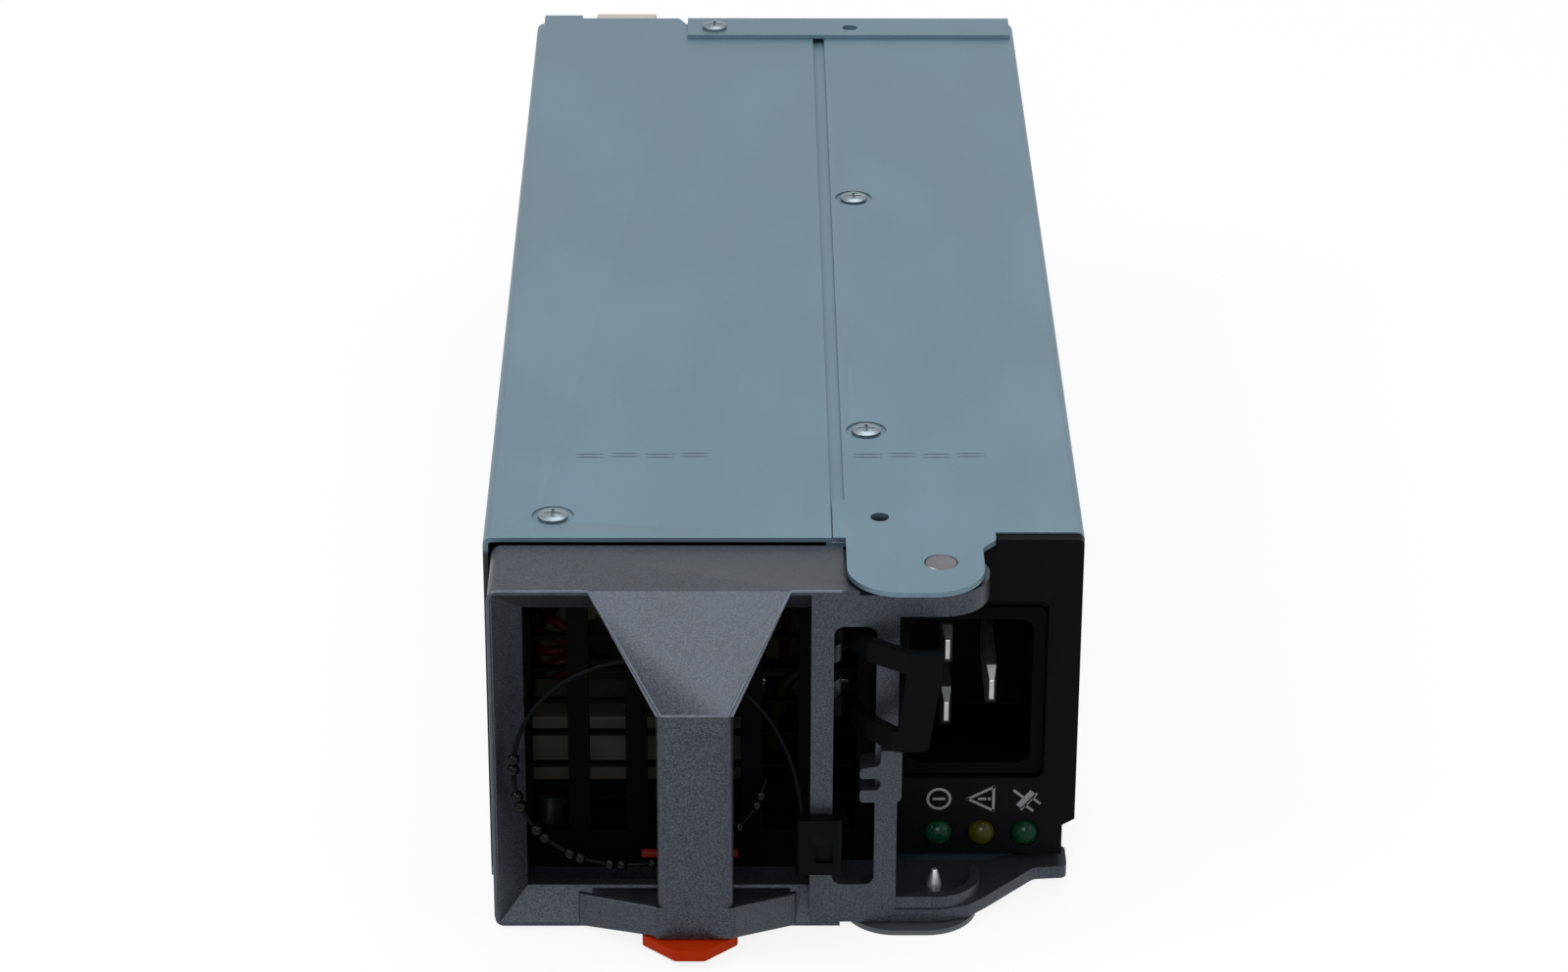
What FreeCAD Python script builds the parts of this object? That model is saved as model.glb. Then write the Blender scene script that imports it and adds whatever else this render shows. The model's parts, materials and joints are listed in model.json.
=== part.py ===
"""Hot swap server power supply: a parametric FreeCAD document, millimetres.

Case frame: X to the right, Y from the front edge of the case to the rear connector, Z up from
the underside.  Every sub-part is built in the case frame and then moved along Y, so that the
document's origin is the middle of the footprint.
"""
import FreeCAD, Part
import math
import os
import re

import Sketcher

V = FreeCAD.Vector

SIZES = [
    # the case
    ("case_width", 108.0, "outside width of the sheet metal case"),
    ("case_height", 70.6, "outside height of the case"),
    ("case_length", 254.0, "length of the case from front edge to rear panel"),
    ("sheet", 1.0, "thickness of the galvanised sheet"),
    ("bend", 1.6, "outside radius of a bend"),
    ("fit", 0.25, "clearance between parts that drop into each other"),
    ("seam", "=case_width / 2 - 43", "left edge of the chassis top flange"),
    ("joggle", 2.5, "width of the sunk strip beside the seam"),
    ("lip", 8.0, "how far the sunk lip runs under the flange"),
    ("seam_tab", 15.0, "length of the flush tab that closes the front of the seam"),
    ("cover_tail", 3.5, "how far the cover overhangs the rear panel"),
    ("tail_tab", 5.3, "reach of the corner tab of the cover"),
    ("tail_tab_edge", "=10.2 - case_width / 2", "inner edge of the corner tab"),
    ("tail_edge", "=33.8 - case_width / 2", "inner edge of the overhang"),
    # the tongues that carry the handle
    ("tongue_right", "=case_width / 2 - 18.6", "right edge of both tongues"),
    ("tongue_reach", 21.0, "how far the tongues stand out of the front"),
    ("tongue_round", 9.4, "corner radius of the tongues"),
    ("tongue_root", "=tongue_right + 2.5", "where the tongue meets the flange"),
    ("pivot_across", "=tongue_right - 7.7", "handle pivot, across"),
    ("pivot_reach", 9.6, "handle pivot, in front of the case"),
    ("setback", 2.0, "how far flange and wall stand back for the bezel rim"),
    ("corner_cut", 2.2, "width of the ejector notch in the right wall"),
    ("corner_cut_height", 12.3, "height of the ejector notch"),
    ("corner_cut_depth", 20.0, "depth of the ejector notch"),
    # screws and holes of the case
    ("seam_screw_across", "=seam + 4.7", "screws beside the seam, across"),
    ("seam_screw_front", 43.6, "front screw beside the seam"),
    ("seam_screw_rear", "=case_length - 100.2", "rear screw beside the seam"),
    ("front_screw_across", "=12.3 - case_width / 2", "screw at the front of the cover, across"),
    ("front_screw_along", 8.6, "screw at the front of the cover, along"),
    ("rear_screw_across", "=tail_edge + 6.5", "screw in the rear flange, across"),
    ("rear_screw_inset", 4.9, "holes of the rear flange, from the rear panel"),
    ("tool_hole_across", "=seam + 6.3", "tooling hole in the flange, across"),
    ("tool_hole_along", 8.0, "tooling hole in the flange, along"),
    ("tool_hole_radius", 1.7, "tooling hole"),
    ("rear_hole_across", "=seam + 5.9", "hole in the rear flange, across"),
    ("dimple", 3.8, "radius of the shallow dimple round a screw"),
    ("dimple_depth", 0.4, "depth of that dimple"),
    ("screw_head", 2.75, "radius of a pan head"),
    ("screw_head_height", 1.1, "height of a pan head"),
    ("screw_radius", 1.5, "radius of the screws"),
    ("screw_length", 5.0, "length of the screws"),
    ("flange_front", "=case_length - 9.3", "front edge of the rear flange"),
    ("flange_left", "=tail_edge + 0.4", "left edge of the rear flange"),
    # front vent
    ("vent_right", "=seam + 6", "right edge of the front vent"),
    ("vent_front", 0.6, "front face of the vent behind the case edge"),
    ("vent_plate", 2.4, "thickness of the vent plate"),
    ("vent_skirt", 9.0, "depth of the vent's skirt"),
    ("vent_wall", 1.6, "wall of the skirt"),
    ("slot_left", "=8 - case_width / 2", "left edge of the first vent slot"),
    ("slot_width", 6.6, "width of a vent slot"),
    ("slot_pitch", "=(vent_right - slot_left - 10.25) / 5", "pitch of the vent slots"),
    ("slot_bottom", 9.2, "lower end of the vent slots"),
    ("rib_pitch", "=(case_height - 2 * sheet - fit - 2.4 - slot_bottom) / 8.5", "pitch of the cross ribs"),
    ("rib_height", 0.8, "thickness of a cross rib"),
    ("hook_door_left", -23.0, "opening for the latch hook, left"),
    ("hook_door_right", -11.4, "opening for the latch hook, right"),
    ("hook_door_top", 8.6, "opening for the latch hook, top"),
    # bezel and inlet
    ("bezel_proud", 0.4, "how far the bezel stands out of the case edge"),
    ("bezel_plate", 3.2, "thickness of the bezel plate"),
    ("bezel_foot", 4.8, "underside of the bezel, above the ejector arm"),
    ("bezel_skirt", 9.0, "depth of the bezel skirt"),
    ("bezel_wall", 1.6, "wall of the bezel skirt"),
    ("skirt_foot", 13.0, "underside of the bezel skirt"),
    ("inlet_across", "=case_width / 2 - 20.1", "middle of the inlet, across"),
    ("inlet_up", "=case_height / 2 + 3.4", "middle of the inlet, up"),
    ("socket_width", 22.4, "width of the inlet recess"),
    ("socket_height", 29.8, "height of the inlet recess"),
    ("socket_depth", 22.0, "depth of the inlet recess"),
    ("socket_wall", 1.6, "wall round the recess"),
    ("inlet_rim", 0.9, "how far the inlet flange stands over its body"),
    ("inlet_rim_depth", 1.0, "thickness of the inlet flange"),
    ("inlet_sunk", 0.8, "how far the inlet flange is sunk in the bezel"),
    ("blade_thick", 2.0, "thickness of an inlet blade"),
    ("blade_tall", 8.0, "height of an inlet blade"),
    ("blade_taper", 2.6, "length of the tapered tip"),
    ("blade_tip", 0.48, "size of the tip face against the full blade"),
    ("blade_spacing", 13.0, "spacing of line and neutral"),
    ("earth_offset", 8.0, "earth blade, beside the other two"),
    ("line_sunk", 4.4, "tips of line and neutral behind the case edge"),
    ("earth_sunk", 1.0, "tip of the earth blade behind the case edge"),
    ("blade_tail", 8.0, "length of the tails behind the inlet"),
    ("lamp_first", "=inlet_across - 5.2", "first indicator, across"),
    ("lamp_pitch", 7.95, "pitch of the indicators"),
    ("lamp_up", 9.4, "height of the indicators"),
    ("lamp_radius", 2.55, "radius of an indicator"),
    ("lamp_lead", 3.2, "length of the indicator leads"),
    ("lamp_proud", 1.7, "how far an indicator stands out of the bezel"),
    ("lamp_dome", 2.2, "depth of the rounded end of an indicator"),
    # handle
    ("grip_gap", 0.9, "gap between handle and case"),
    ("handle_left", "=1.6 - case_width / 2", "left side of the handle"),
    ("handle_foot", 0.4, "underside of the handle frame"),
    ("handle_round", 1.6, "corner radius of the handle frame, seen from the front"),
    ("handle_top", "=case_height - 1.2", "top of the handle frame"),
    ("arm_radius", 8.7, "radius of the handle arms round the pivot"),
    ("arm_sunk", 0.8, "step under the tongue"),
    ("upper_arm", 4.3, "thickness of the upper arm"),
    ("lower_arm", 2.5, "thickness of the lower arm"),
    ("skirt", 2.0, "wall of the handle frame"),
    ("funnel", 5.0, "width of the sloped inner border"),
    ("funnel_depth", 4.8, "depth of the sloped inner border"),
    ("land", 0.8, "flat edge in front of the slope"),
    ("bar_left", "=seam - 6.3", "left edge of the first bar"),
    ("bar_width", 4.0, "width of the first bar"),
    ("gap_width", 7.6, "width of the gap between the bars"),
    ("second_bar", 4.0, "width of the second bar"),
    ("bar_depth", 3.0, "depth of the bars"),
    ("gap_bottom", 9.2, "lower end of the gap"),
    ("gap_top", "=handle_top - 7.1", "upper end of the gap"),
    ("wedge_left", -34.8, "left end of the grip wedges"),
    ("wedge_right", 1.2, "right end of the grip wedges"),
    ("grip_left", -22.7, "left side of the grip"),
    ("grip_right", -9.1, "right side of the grip"),
    ("grip_front", 28.4, "front of the grip, before the case"),
    ("grip_depth", 8.0, "depth of the grip channel"),
    ("grip_skin", 2.4, "front wall of the grip"),
    ("grip_wall", 1.5, "side walls of the grip"),
    ("grip_top", "=handle_top - 19.6", "upper end of the grip"),
    ("grip_foot", 3.8, "lower end of the grip"),
    ("chin", 6.6, "height of the lower wedge"),
    ("rim_height", 2.5, "curved rim on the lower arm"),
    ("rim_step", 0.4, "how far the rim stands in from the arm's edge"),
    ("rim_wall", 1.8, "wall of that rim"),
    ("ejector_right", "=case_width / 2 - 1.5", "outer end of the ejector"),
    ("ejector_back", 4.0, "how far the ejector reaches into the case"),
    ("pivot_radius", 2.0, "radius of the upper pivot"),
    ("lower_pivot", 1.4, "radius of the lower pivot"),
    ("running", 0.08, "radial clearance of the pivots"),
    ("rivet_head", 3.0, "radius of the rivet head"),
    ("rivet_edge", 0.3, "chamfer round the rivet head"),
    ("pin_tip", 0.5, "radius of the blunt end of the lower pivot"),
    ("cone_height", 3.4, "height of the pointed end of the lower pivot"),
    # latch
    ("latch_width", 17.2, "width of the latch over its ears"),
    ("latch_tip", 5.4, "width of the thumb tab at its tip"),
    ("latch_reach", 32.0, "tip of the thumb tab, before the case"),
    ("latch_foot", 1.4, "underside of the thumb tab"),
    ("latch_thick", 2.1, "thickness of the thumb tab"),
    ("latch_axis_reach", 23.5, "latch pivot, before the case"),
    ("latch_axis_up", 19.0, "latch pivot, up"),
    ("ear_radius", 0.8, "radius of the latch ears"),
    ("latch_across", -16.9, "middle of the latch, across"),
    ("hook_thick", 1.4, "thickness of the hook"),
    ("web_width", 7.0, "width of the latch web"),
    ("web_thick", 2.0, "thickness of the latch web"),
    ("hook_width", 7.6, "width of the hook"),
    ("hook_into", 4.6, "how far the hook reaches into the case"),
    # cord clip and tie
    ("clip_foot", "=handle_top - 27.9", "lower end of the cord clip"),
    ("clip_top", "=handle_top - 8.4", "upper end of the cord clip"),
    ("clip_across", "=bar_left + 2.9", "rod of the cord clip, across"),
    ("clip_setback", 12.6, "rod of the cord clip, before the case"),
    ("clip_rod", 1.3, "radius of that rod"),
    ("clip_arm", 4.0, "height of the clip arms"),
    ("clip_front", 26.4, "front of the clip, before the case"),
    ("clip_plate", 2.0, "thickness of the clip plate"),
    ("clip_near", "=bar_left + 17.3", "clip plate, near edge at its top"),
    ("clip_wide", 6.0, "width of the clip plate"),
    ("clip_lean", 2.6, "how far the plate leans back at its foot"),
    ("knuckle", 3.4, "height of a knuckle on the handle"),
    ("knuckle_wall", 1.3, "wall of a knuckle"),
    ("head_left", "=bar_left - 2.6", "tie head, left"),
    ("head_right", "=bar_left + 5.8", "tie head, right"),
    ("head_foot", 12.8, "tie head, lower end"),
    ("head_top", 24.1, "tie head, upper end"),
    ("head_front", 21.0, "tie head, before the case"),
    ("strand", 0.8, "thickness of the tie strand"),
    # rear
    ("plug_left", "=13.1 - case_width / 2", "output connector, left"),
    ("plug_width", 13.7, "output connector, width"),
    ("plug_foot", 7.5, "output connector, lower end"),
    ("plug_top", "=case_height - 4.2", "output connector, upper end"),
    ("plug_reach", 21.0, "output connector behind the rear panel"),
    ("plug_inside", 12.0, "output connector inside the case"),
    ("fan_size", 60.0, "side of the fan"),
    ("fan_depth", 25.0, "depth of the fan"),
    ("fan_across", "=case_width / 2 - 38", "middle of the fan, across"),
    ("fan_up", "=case_height / 2 - 0.3", "middle of the fan, up"),
    ("fan_bore", 28.6, "radius of the fan's bore"),
    ("fan_hub", 12.5, "radius of the impeller hub"),
    ("blade_gap", 0.9, "clearance at the blade tips"),
    ("fan_holes", 50.0, "spacing of the fan screws"),
    # boards
    ("board", 1.6, "thickness of the circuit boards"),
    ("board_up", 7.0, "underside of the main board"),
    ("board_front", 18.0, "front edge of the main board"),
    ("board_rear", "=case_length - 30", "rear edge of the main board"),
    ("board_edge", "=case_width / 2 - 4", "half width of the main board"),
    ("post_inset", 6.0, "standoffs from the board edges"),
    ("post_radius", 3.0, "radius of a standoff"),
    ("film", 0.5, "thickness of the insulating film"),
    # wound parts and cans on the main board
    ("choke_across", "=20 - case_width / 2", "filter choke, across"),
    ("choke_along", 45.0, "filter choke, along"),
    ("choke_outer", 12.6, "outer radius of the choke core"),
    ("choke_inner", 7.0, "inner radius of the choke core"),
    ("choke_foot", 1.4, "thickness of the base under the choke"),
    ("choke_deep", 10.0, "depth of the choke core"),
    ("boost_across", -2.0, "boost inductor, across"),
    ("boost_along", 82.0, "boost inductor, along"),
    ("boost_outer", 18.0, "outer radius of the boost core"),
    ("boost_inner", 9.5, "inner radius of the boost core"),
    ("boost_tall", 14.0, "height of the boost core"),
    ("wire_build", 1.7, "thickness of the winding round a core"),
    ("bulk_radius", 15.0, "radius of a bulk capacitor"),
    ("bulk_tall", 50.0, "height of a bulk capacitor"),
    ("bulk_across", 32.0, "bulk capacitors, across"),
    ("bulk_first", 62.0, "first bulk capacitor, along"),
    ("bulk_pitch", 32.0, "pitch of the bulk capacitors"),
    ("can_radius", 5.0, "radius of an output capacitor"),
    ("can_tall", 20.0, "height of an output capacitor"),
    ("can_across", -42.0, "first output capacitor, across"),
    ("can_along", "=case_length - 76", "first output capacitor, along"),
    ("can_pitch", 11.4, "pitch of the output capacitors"),
    ("fuse_radius", 3.0, "radius of the fuse"),
    ("fuse_long", 22.0, "length of the fuse"),
    ("fuse_across", -4.0, "left end of the fuse"),
    ("fuse_along", 50.0, "fuse, along"),
    ("fin", 1.2, "thickness of a heatsink fin"),
    ("fin_pitch", 5.2, "pitch of the heatsink fins"),
    ("contact_thick", 1.5, "thickness of an output contact"),
    ("contact_deep", 14.0, "depth of the mouths of the output connector"),
    ("lead_radius", 1.2, "radius of the inlet leads"),
]

# Boxy pieces on the main board: label, left, front, width, depth, height above the board.
BOXES = [
    ("filter_capacitor", -47.0, 20.0, 40.4, 15.0, 13.7),
    ("bridge_rectifier", -27.0, 68.0, 5.0, 30.0, 26.0),
    ("rectifier_heatsink", -47.0, 62.0, 20.0, 42.0, 44.0),
    ("power_transistors", -24.0, 116.0, 5.0, "=0.27 * (case_length - 196)", 22.0),
    ("primary_heatsink", -47.0, 112.0, 23.0, "=case_length - 196", 44.0),
    ("transformer", -16.0, 118.0, 30.0, 38.0, 34.0),
    ("output_inductor", -16.0, 166.0, 22.0, 22.0, 20.0),
    ("secondary_heatsink", 22.0, 152.0, 24.0, "=case_length - 196", 44.0),
    ("control_board", 12.0, 160.0, 1.6, "=case_length - 198", 42.0),
    ("busbars", "=plug_left + 2.9", "=case_length - 42", 8.0, 29.5, 32.0),
]
for label, left, front, width, depth, height in BOXES:
    words = (("left", left), ("front", front), ("width", width), ("depth", depth), ("height", height))
    SIZES += [(f"{label}_{word}", value, f"{label.replace('_', ' ')}, {word}") for word, value in words]

doc = FreeCAD.newDocument("ServerPowerSupply")
sheet = doc.addObject("Spreadsheet::Sheet", "Sizes")
for row, (alias, value, note) in enumerate(SIZES, start=1):
    sheet.set(f"A{row}", alias)
    sheet.set(f"B{row}", str(value))
    sheet.set(f"C{row}", note)
    sheet.setAlias(f"B{row}", alias)
doc.recompute()

NAMES = {alias for alias, _, _ in SIZES}
PARTS = []


def cells(text):
    """An expression on the sheet's aliases, with the sheet named in front of each."""
    return re.sub(r"[a-z_]+", lambda word: "Sizes." + word[0] if word[0] in NAMES else word[0], str(text))


def number(text):
    """The value of such an expression."""
    result = sheet.evalExpression(cells(text))
    return float(getattr(result, "Value", result))


def bind(item, prop, text):
    item.setExpression(prop, cells(text))


# Where the origin lies: the middle of the footprint, from the latch tip to the connector.
MIDDLE = "(latch_reach - case_length - sheet - plug_reach) / 2"


def keep(item, label, placed=True):
    """Label a finished sub-part and note it for export."""
    item.Label = label
    if placed:
        bind(item, "Placement.Base.y", MIDDLE)
    PARTS.append(item)
    return item


# ---------------------------------------------------------------- sketches and features

NORMAL = {"XY_Plane": 1, "XZ_Plane": -1, "YZ_Plane": 1}


def new_body(name):
    return doc.addObject("PartDesign::Body", name)


def origin_feature(body, role):
    return next(item for item in body.Origin.OriginFeatures if item.Role == role)


def sketch_on(body, name, plane, at="0"):
    """An empty sketch on one of the body's own planes, moved to a coordinate along its axis."""
    sketch = body.newObject("Sketcher::SketchObject", name)
    sketch.AttachmentSupport = [(origin_feature(body, plane), "")]
    sketch.MapMode = "FlatFace"
    sign = "" if NORMAL[plane] > 0 else "-"
    bind(sketch, "AttachmentOffset.Base.z", f"{sign}({at})")
    return sketch


def fix(sketch, geometry, point, across, up):
    """Hold one point at a place given by two expressions."""
    for kind, text in (("DistanceX", across), ("DistanceY", up)):
        index = sketch.addConstraint(Sketcher.Constraint(kind, -1, 1, geometry, point, number(text)))
        bind(sketch, f"Constraints[{index}]", text)


def outline(sketch, corners):
    """A closed outline.  Each corner is (across, up) or (across, up, radius), as expressions."""
    spots = [V(number(c[0]), number(c[1]), 0) for c in corners]
    count = len(spots)
    enter, leave, arcs = list(spots), list(spots), {}
    for i, corner in enumerate(corners):
        if len(corner) < 3:
            continue
        radius = number(corner[2])
        back = (spots[i - 1] - spots[i]).normalize()
        ahead = (spots[(i + 1) % count] - spots[i]).normalize()
        half = back.getAngle(ahead) / 2
        enter[i] = spots[i] + back * (radius / math.tan(half))
        leave[i] = spots[i] + ahead * (radius / math.tan(half))
        centre = spots[i] + (back + ahead).normalize() * (radius / math.sin(half))
        left_turn = back.cross(ahead).z < 0
        first, last = (enter[i], leave[i]) if left_turn else (leave[i], enter[i])
        start = math.atan2(first.y - centre.y, first.x - centre.x)
        end = math.atan2(last.y - centre.y, last.x - centre.x)
        circle = Part.Circle(centre, V(0, 0, 1), radius)
        arcs[i] = (Part.ArcOfCircle(circle, start, end), left_turn)
    lines = [sketch.addGeometry(Part.LineSegment(leave[i], enter[(i + 1) % count])) for i in range(count)]
    for i, corner in enumerate(corners):
        before, after = lines[i - 1], lines[i]
        if i not in arcs:
            sketch.addConstraint(Sketcher.Constraint("Coincident", before, 2, after, 1))
            fix(sketch, after, 1, corner[0], corner[1])
            continue
        arc, left_turn = arcs[i]
        bow = sketch.addGeometry(arc)
        first, last = (1, 2) if left_turn else (2, 1)
        sketch.addConstraint(Sketcher.Constraint("Tangent", before, 2, bow, first))
        sketch.addConstraint(Sketcher.Constraint("Tangent", bow, last, after, 1))
        index = sketch.addConstraint(Sketcher.Constraint("Radius", bow, number(corner[2])))
        bind(sketch, f"Constraints[{index}]", corner[2])
        spot = sketch.addGeometry(Part.Point(spots[i]), True)
        fix(sketch, spot, 1, corner[0], corner[1])
        sketch.addConstraint(Sketcher.Constraint("PointOnObject", spot, 1, before))
        sketch.addConstraint(Sketcher.Constraint("PointOnObject", spot, 1, after))


def box_outline(sketch, left, right, low, high, radius=None):
    tail = () if radius is None else (radius,)
    outline(sketch, [(left, low) + tail, (right, low) + tail, (right, high) + tail, (left, high) + tail])


def ring(sketch, across, up, radius):
    circle = sketch.addGeometry(Part.Circle(V(number(across), number(up), 0), V(0, 0, 1), number(radius)))
    fix(sketch, circle, 3, across, up)
    index = sketch.addConstraint(Sketcher.Constraint("Radius", circle, number(radius)))
    bind(sketch, f"Constraints[{index}]", radius)


def grow(body, sketch, plane, length, toward=1):
    """A pad that goes toward the positive or negative side of the plane's axis."""
    pad = body.newObject("PartDesign::Pad", "Pad")
    pad.Profile = sketch
    pad.Reversed = toward * NORMAL[plane] < 0
    bind(pad, "Length", length)
    return pad


def cut(body, sketch, plane, length=None, toward=1):
    """A pocket toward the positive or negative side; without a length it goes right through."""
    pocket = body.newObject("PartDesign::Pocket", "Pocket")
    pocket.Profile = sketch
    pocket.Reversed = toward * NORMAL[plane] > 0
    if length is None:
        pocket.Type = 1
        pocket.Midplane = True
    else:
        bind(pocket, "Length", length)
    return pocket


def slab(body, name, plane, at, corners, length, toward=1):
    sketch = sketch_on(body, name, plane, at)
    outline(sketch, corners)
    return grow(body, sketch, plane, length, toward)


def hollow(body, name, plane, at, corners, length, toward=1):
    sketch = sketch_on(body, name, plane, at)
    outline(sketch, corners)
    return cut(body, sketch, plane, length, toward)


def hole(body, name, plane, at, across, up, radius, length, toward=1):
    sketch = sketch_on(body, name, plane, at)
    ring(sketch, across, up, radius)
    return cut(body, sketch, plane, length, toward)


def boss(body, name, plane, at, across, up, radius, length, toward=1):
    sketch = sketch_on(body, name, plane, at)
    ring(sketch, across, up, radius)
    return grow(body, sketch, plane, length, toward)


def corners_of(left, right, low, high, radius=None):
    tail = () if radius is None else (radius,)
    return [(left, low) + tail, (right, low) + tail, (right, high) + tail, (left, high) + tail]


def loft(body, first, second):
    blend = body.newObject("PartDesign::AdditiveLoft", "Loft")
    blend.Profile = first
    blend.Sections = [second]
    blend.Ruled = True
    return blend


def repeat(body, features, axis, pitch, count):
    """A row of copies along one of the body's own axes."""
    row = body.newObject("PartDesign::LinearPattern", "Row")
    row.Originals = features
    row.Direction = (origin_feature(body, axis), [""])
    bind(row, "Length", f"({pitch}) * {count - 1}")
    row.Occurrences = count
    body.Tip = row
    return row


def block(name, left, front, low, width, depth, height):
    """A Part box bound to the sheet."""
    item = doc.addObject("Part::Box", name)
    for prop, text in (("Length", width), ("Width", depth), ("Height", height)):
        bind(item, prop, text)
    for axis, text in (("x", left), ("y", front), ("z", low)):
        bind(item, f"Placement.Base.{axis}", text)
    return item


def rod(name, across, along, up, radius, length, axis="Z"):
    """A Part cylinder bound to the sheet, along X, Y or Z."""
    item = doc.addObject("Part::Cylinder", name)
    turn = {"X": FreeCAD.Rotation(V(0, 1, 0), 90), "Y": FreeCAD.Rotation(V(1, 0, 0), -90)}
    item.Placement.Rotation = turn.get(axis, FreeCAD.Rotation())
    bind(item, "Radius", radius)
    bind(item, "Height", length)
    for side, text in (("x", across), ("y", along), ("z", up)):
        bind(item, f"Placement.Base.{side}", text)
    return item


def minus(name, base, tool):
    item = doc.addObject("Part::Cut", name)
    item.Base = base
    item.Tool = tool
    return item


def group(label, shapes):
    """Separate solids that share one node, set straight from Part."""
    item = doc.addObject("Part::Feature", label)
    item.Shape = Part.makeCompound(shapes)
    item.Placement.Base = V(0, number(MIDDLE), 0)
    item.Label = label
    PARTS.append(item)
    return item


HALF = "case_width / 2"
INSIDE = "(case_width / 2 - sheet)"
UNDER = "(case_height - sheet)"
TONGUE = "-tongue_reach"


def tongue_corners(gap="0"):
    """Outline of a handle tongue, grown by a gap."""
    return [
        (f"seam - ({gap})", "1"),
        (f"seam - ({gap})", f"{TONGUE} - ({gap})", f"tongue_round + ({gap})"),
        (f"tongue_right + ({gap})", f"{TONGUE} - ({gap})", f"tongue_round + ({gap})"),
        (f"tongue_right + ({gap})", "-4", "1.5"),
        (f"tongue_root + ({gap})", "-1", "1.5"),
        (f"tongue_root + ({gap})", "1"),
    ]


# ---------------------------------------------------------------- sheet metal case

def make_chassis():
    """Bottom, right wall and top flange from one sheet, with the two tongues for the handle."""
    body = new_body("chassis")
    inner = "bend - sheet"
    slab(body, "Profile", "XZ_Plane", "0", [
        (f"-{INSIDE}", "0"), (HALF, "0", "bend"), (HALF, "case_height", "bend"), ("seam", "case_height"),
        ("seam", UNDER), (INSIDE, UNDER, inner), (INSIDE, "sheet", inner), (f"-{INSIDE}", "sheet"),
    ], "case_length")
    slab(body, "TopTongue", "XY_Plane", UNDER, tongue_corners(), "sheet")
    slab(body, "LowTongue", "XY_Plane", "0", tongue_corners(), "sheet")
    slab(body, "SeamTab", "XY_Plane", UNDER,
         corners_of("seam - joggle + fit", "seam + 1", "0", "seam_tab"), "sheet")
    hollow(body, "Setback", "XY_Plane", "corner_cut_height",
           corners_of("tongue_root", f"{HALF} + 1", "-2", "setback"), "case_height")
    hollow(body, "EjectorNotch", "XY_Plane", "-1",
           corners_of(f"{HALF} - corner_cut", f"{HALF} + 1", "-1", "corner_cut_depth"),
           "corner_cut_height + 1")
    hole(body, "ToolHole", "XY_Plane", "case_height", "tool_hole_across", "tool_hole_along",
         "tool_hole_radius", "sheet * 2", -1)
    for spot in ("seam_screw_front", "seam_screw_rear"):
        hole(body, "Dimple", "XY_Plane", "case_height", "seam_screw_across", spot, "dimple",
             "dimple_depth", -1)
        hole(body, "ScrewHole", "XY_Plane", "case_height", "seam_screw_across", spot,
             "screw_radius + fit", "sheet * 1.5", -1)
    hole(body, "RivetSeat", "XY_Plane", "case_height", "pivot_across", "-pivot_reach", "rivet_head",
         "sheet * 2", -1)
    hole(body, "PinSeat", "XY_Plane", "-1", "pivot_across", "-pivot_reach", "rivet_head",
         "sheet + 1.5")
    hollow(body, "CatchSlot", "XY_Plane", "-1",
           corners_of("hook_door_left + 1", "hook_door_right - 1", "1.8", "hook_into + 0.6"), "sheet * 2")
    for across in ("-board_edge + post_inset", "board_edge - post_inset"):
        for along in ("board_front + post_inset", "board_rear - post_inset"):
            hole(body, "PostHole", "XY_Plane", "-1", across, along, "screw_radius + fit", "sheet + 1.5")
    return keep(body, "chassis")


def make_cover():
    """Left wall and left half of the top, with the sunk lip that runs under the flange."""
    body = new_body("left_cover")
    edge = "(seam - joggle)"
    slab(body, "Profile", "XZ_Plane", "0", [
        (f"-{INSIDE}", "0"), (f"-{INSIDE}", UNDER, "bend - sheet"), (f"{edge} - sheet", UNDER),
        (f"{edge} - sheet", f"{UNDER} - sheet"), ("seam + lip", f"{UNDER} - sheet"),
        ("seam + lip", UNDER), (edge, UNDER), (edge, "case_height"), (f"-{HALF}", "case_height", "bend"),
        (f"-{HALF}", "0"),
    ], "case_length")
    slab(body, "Tail", "XY_Plane", UNDER, [
        (f"-{HALF} + bend", "case_length - 1"), ("tail_edge", "case_length - 1"),
        ("tail_edge", "case_length"), ("tail_edge - 1.6", "case_length + cover_tail"),
        ("tail_tab_edge", "case_length + cover_tail"), ("tail_tab_edge", "case_length + tail_tab"),
        (f"-{HALF} + bend", "case_length + tail_tab"),
    ], "sheet")
    hole(body, "Dimple", "XY_Plane", "case_height", "front_screw_across", "front_screw_along",
         "dimple", "dimple_depth", -1)
    hole(body, "ScrewHole", "XY_Plane", "case_height", "front_screw_across", "front_screw_along",
         "screw_radius + fit", "sheet * 1.5", -1)
    hole(body, "ToolHole", "XY_Plane", "case_height", "tool_hole_across", "tool_hole_along",
         "tool_hole_radius + 1", "sheet * 3", -1)
    for spot in ("seam_screw_front", "seam_screw_rear"):
        hole(body, "LipHole", "XY_Plane", "case_height", "seam_screw_across", spot,
             "screw_radius + fit", "sheet * 3", -1)
    hole(body, "RearHole", "XY_Plane", "case_height", "rear_screw_across",
         "case_length - rear_screw_inset", "screw_radius + fit", "sheet * 2", -1)
    return keep(body, "left_cover")


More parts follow.
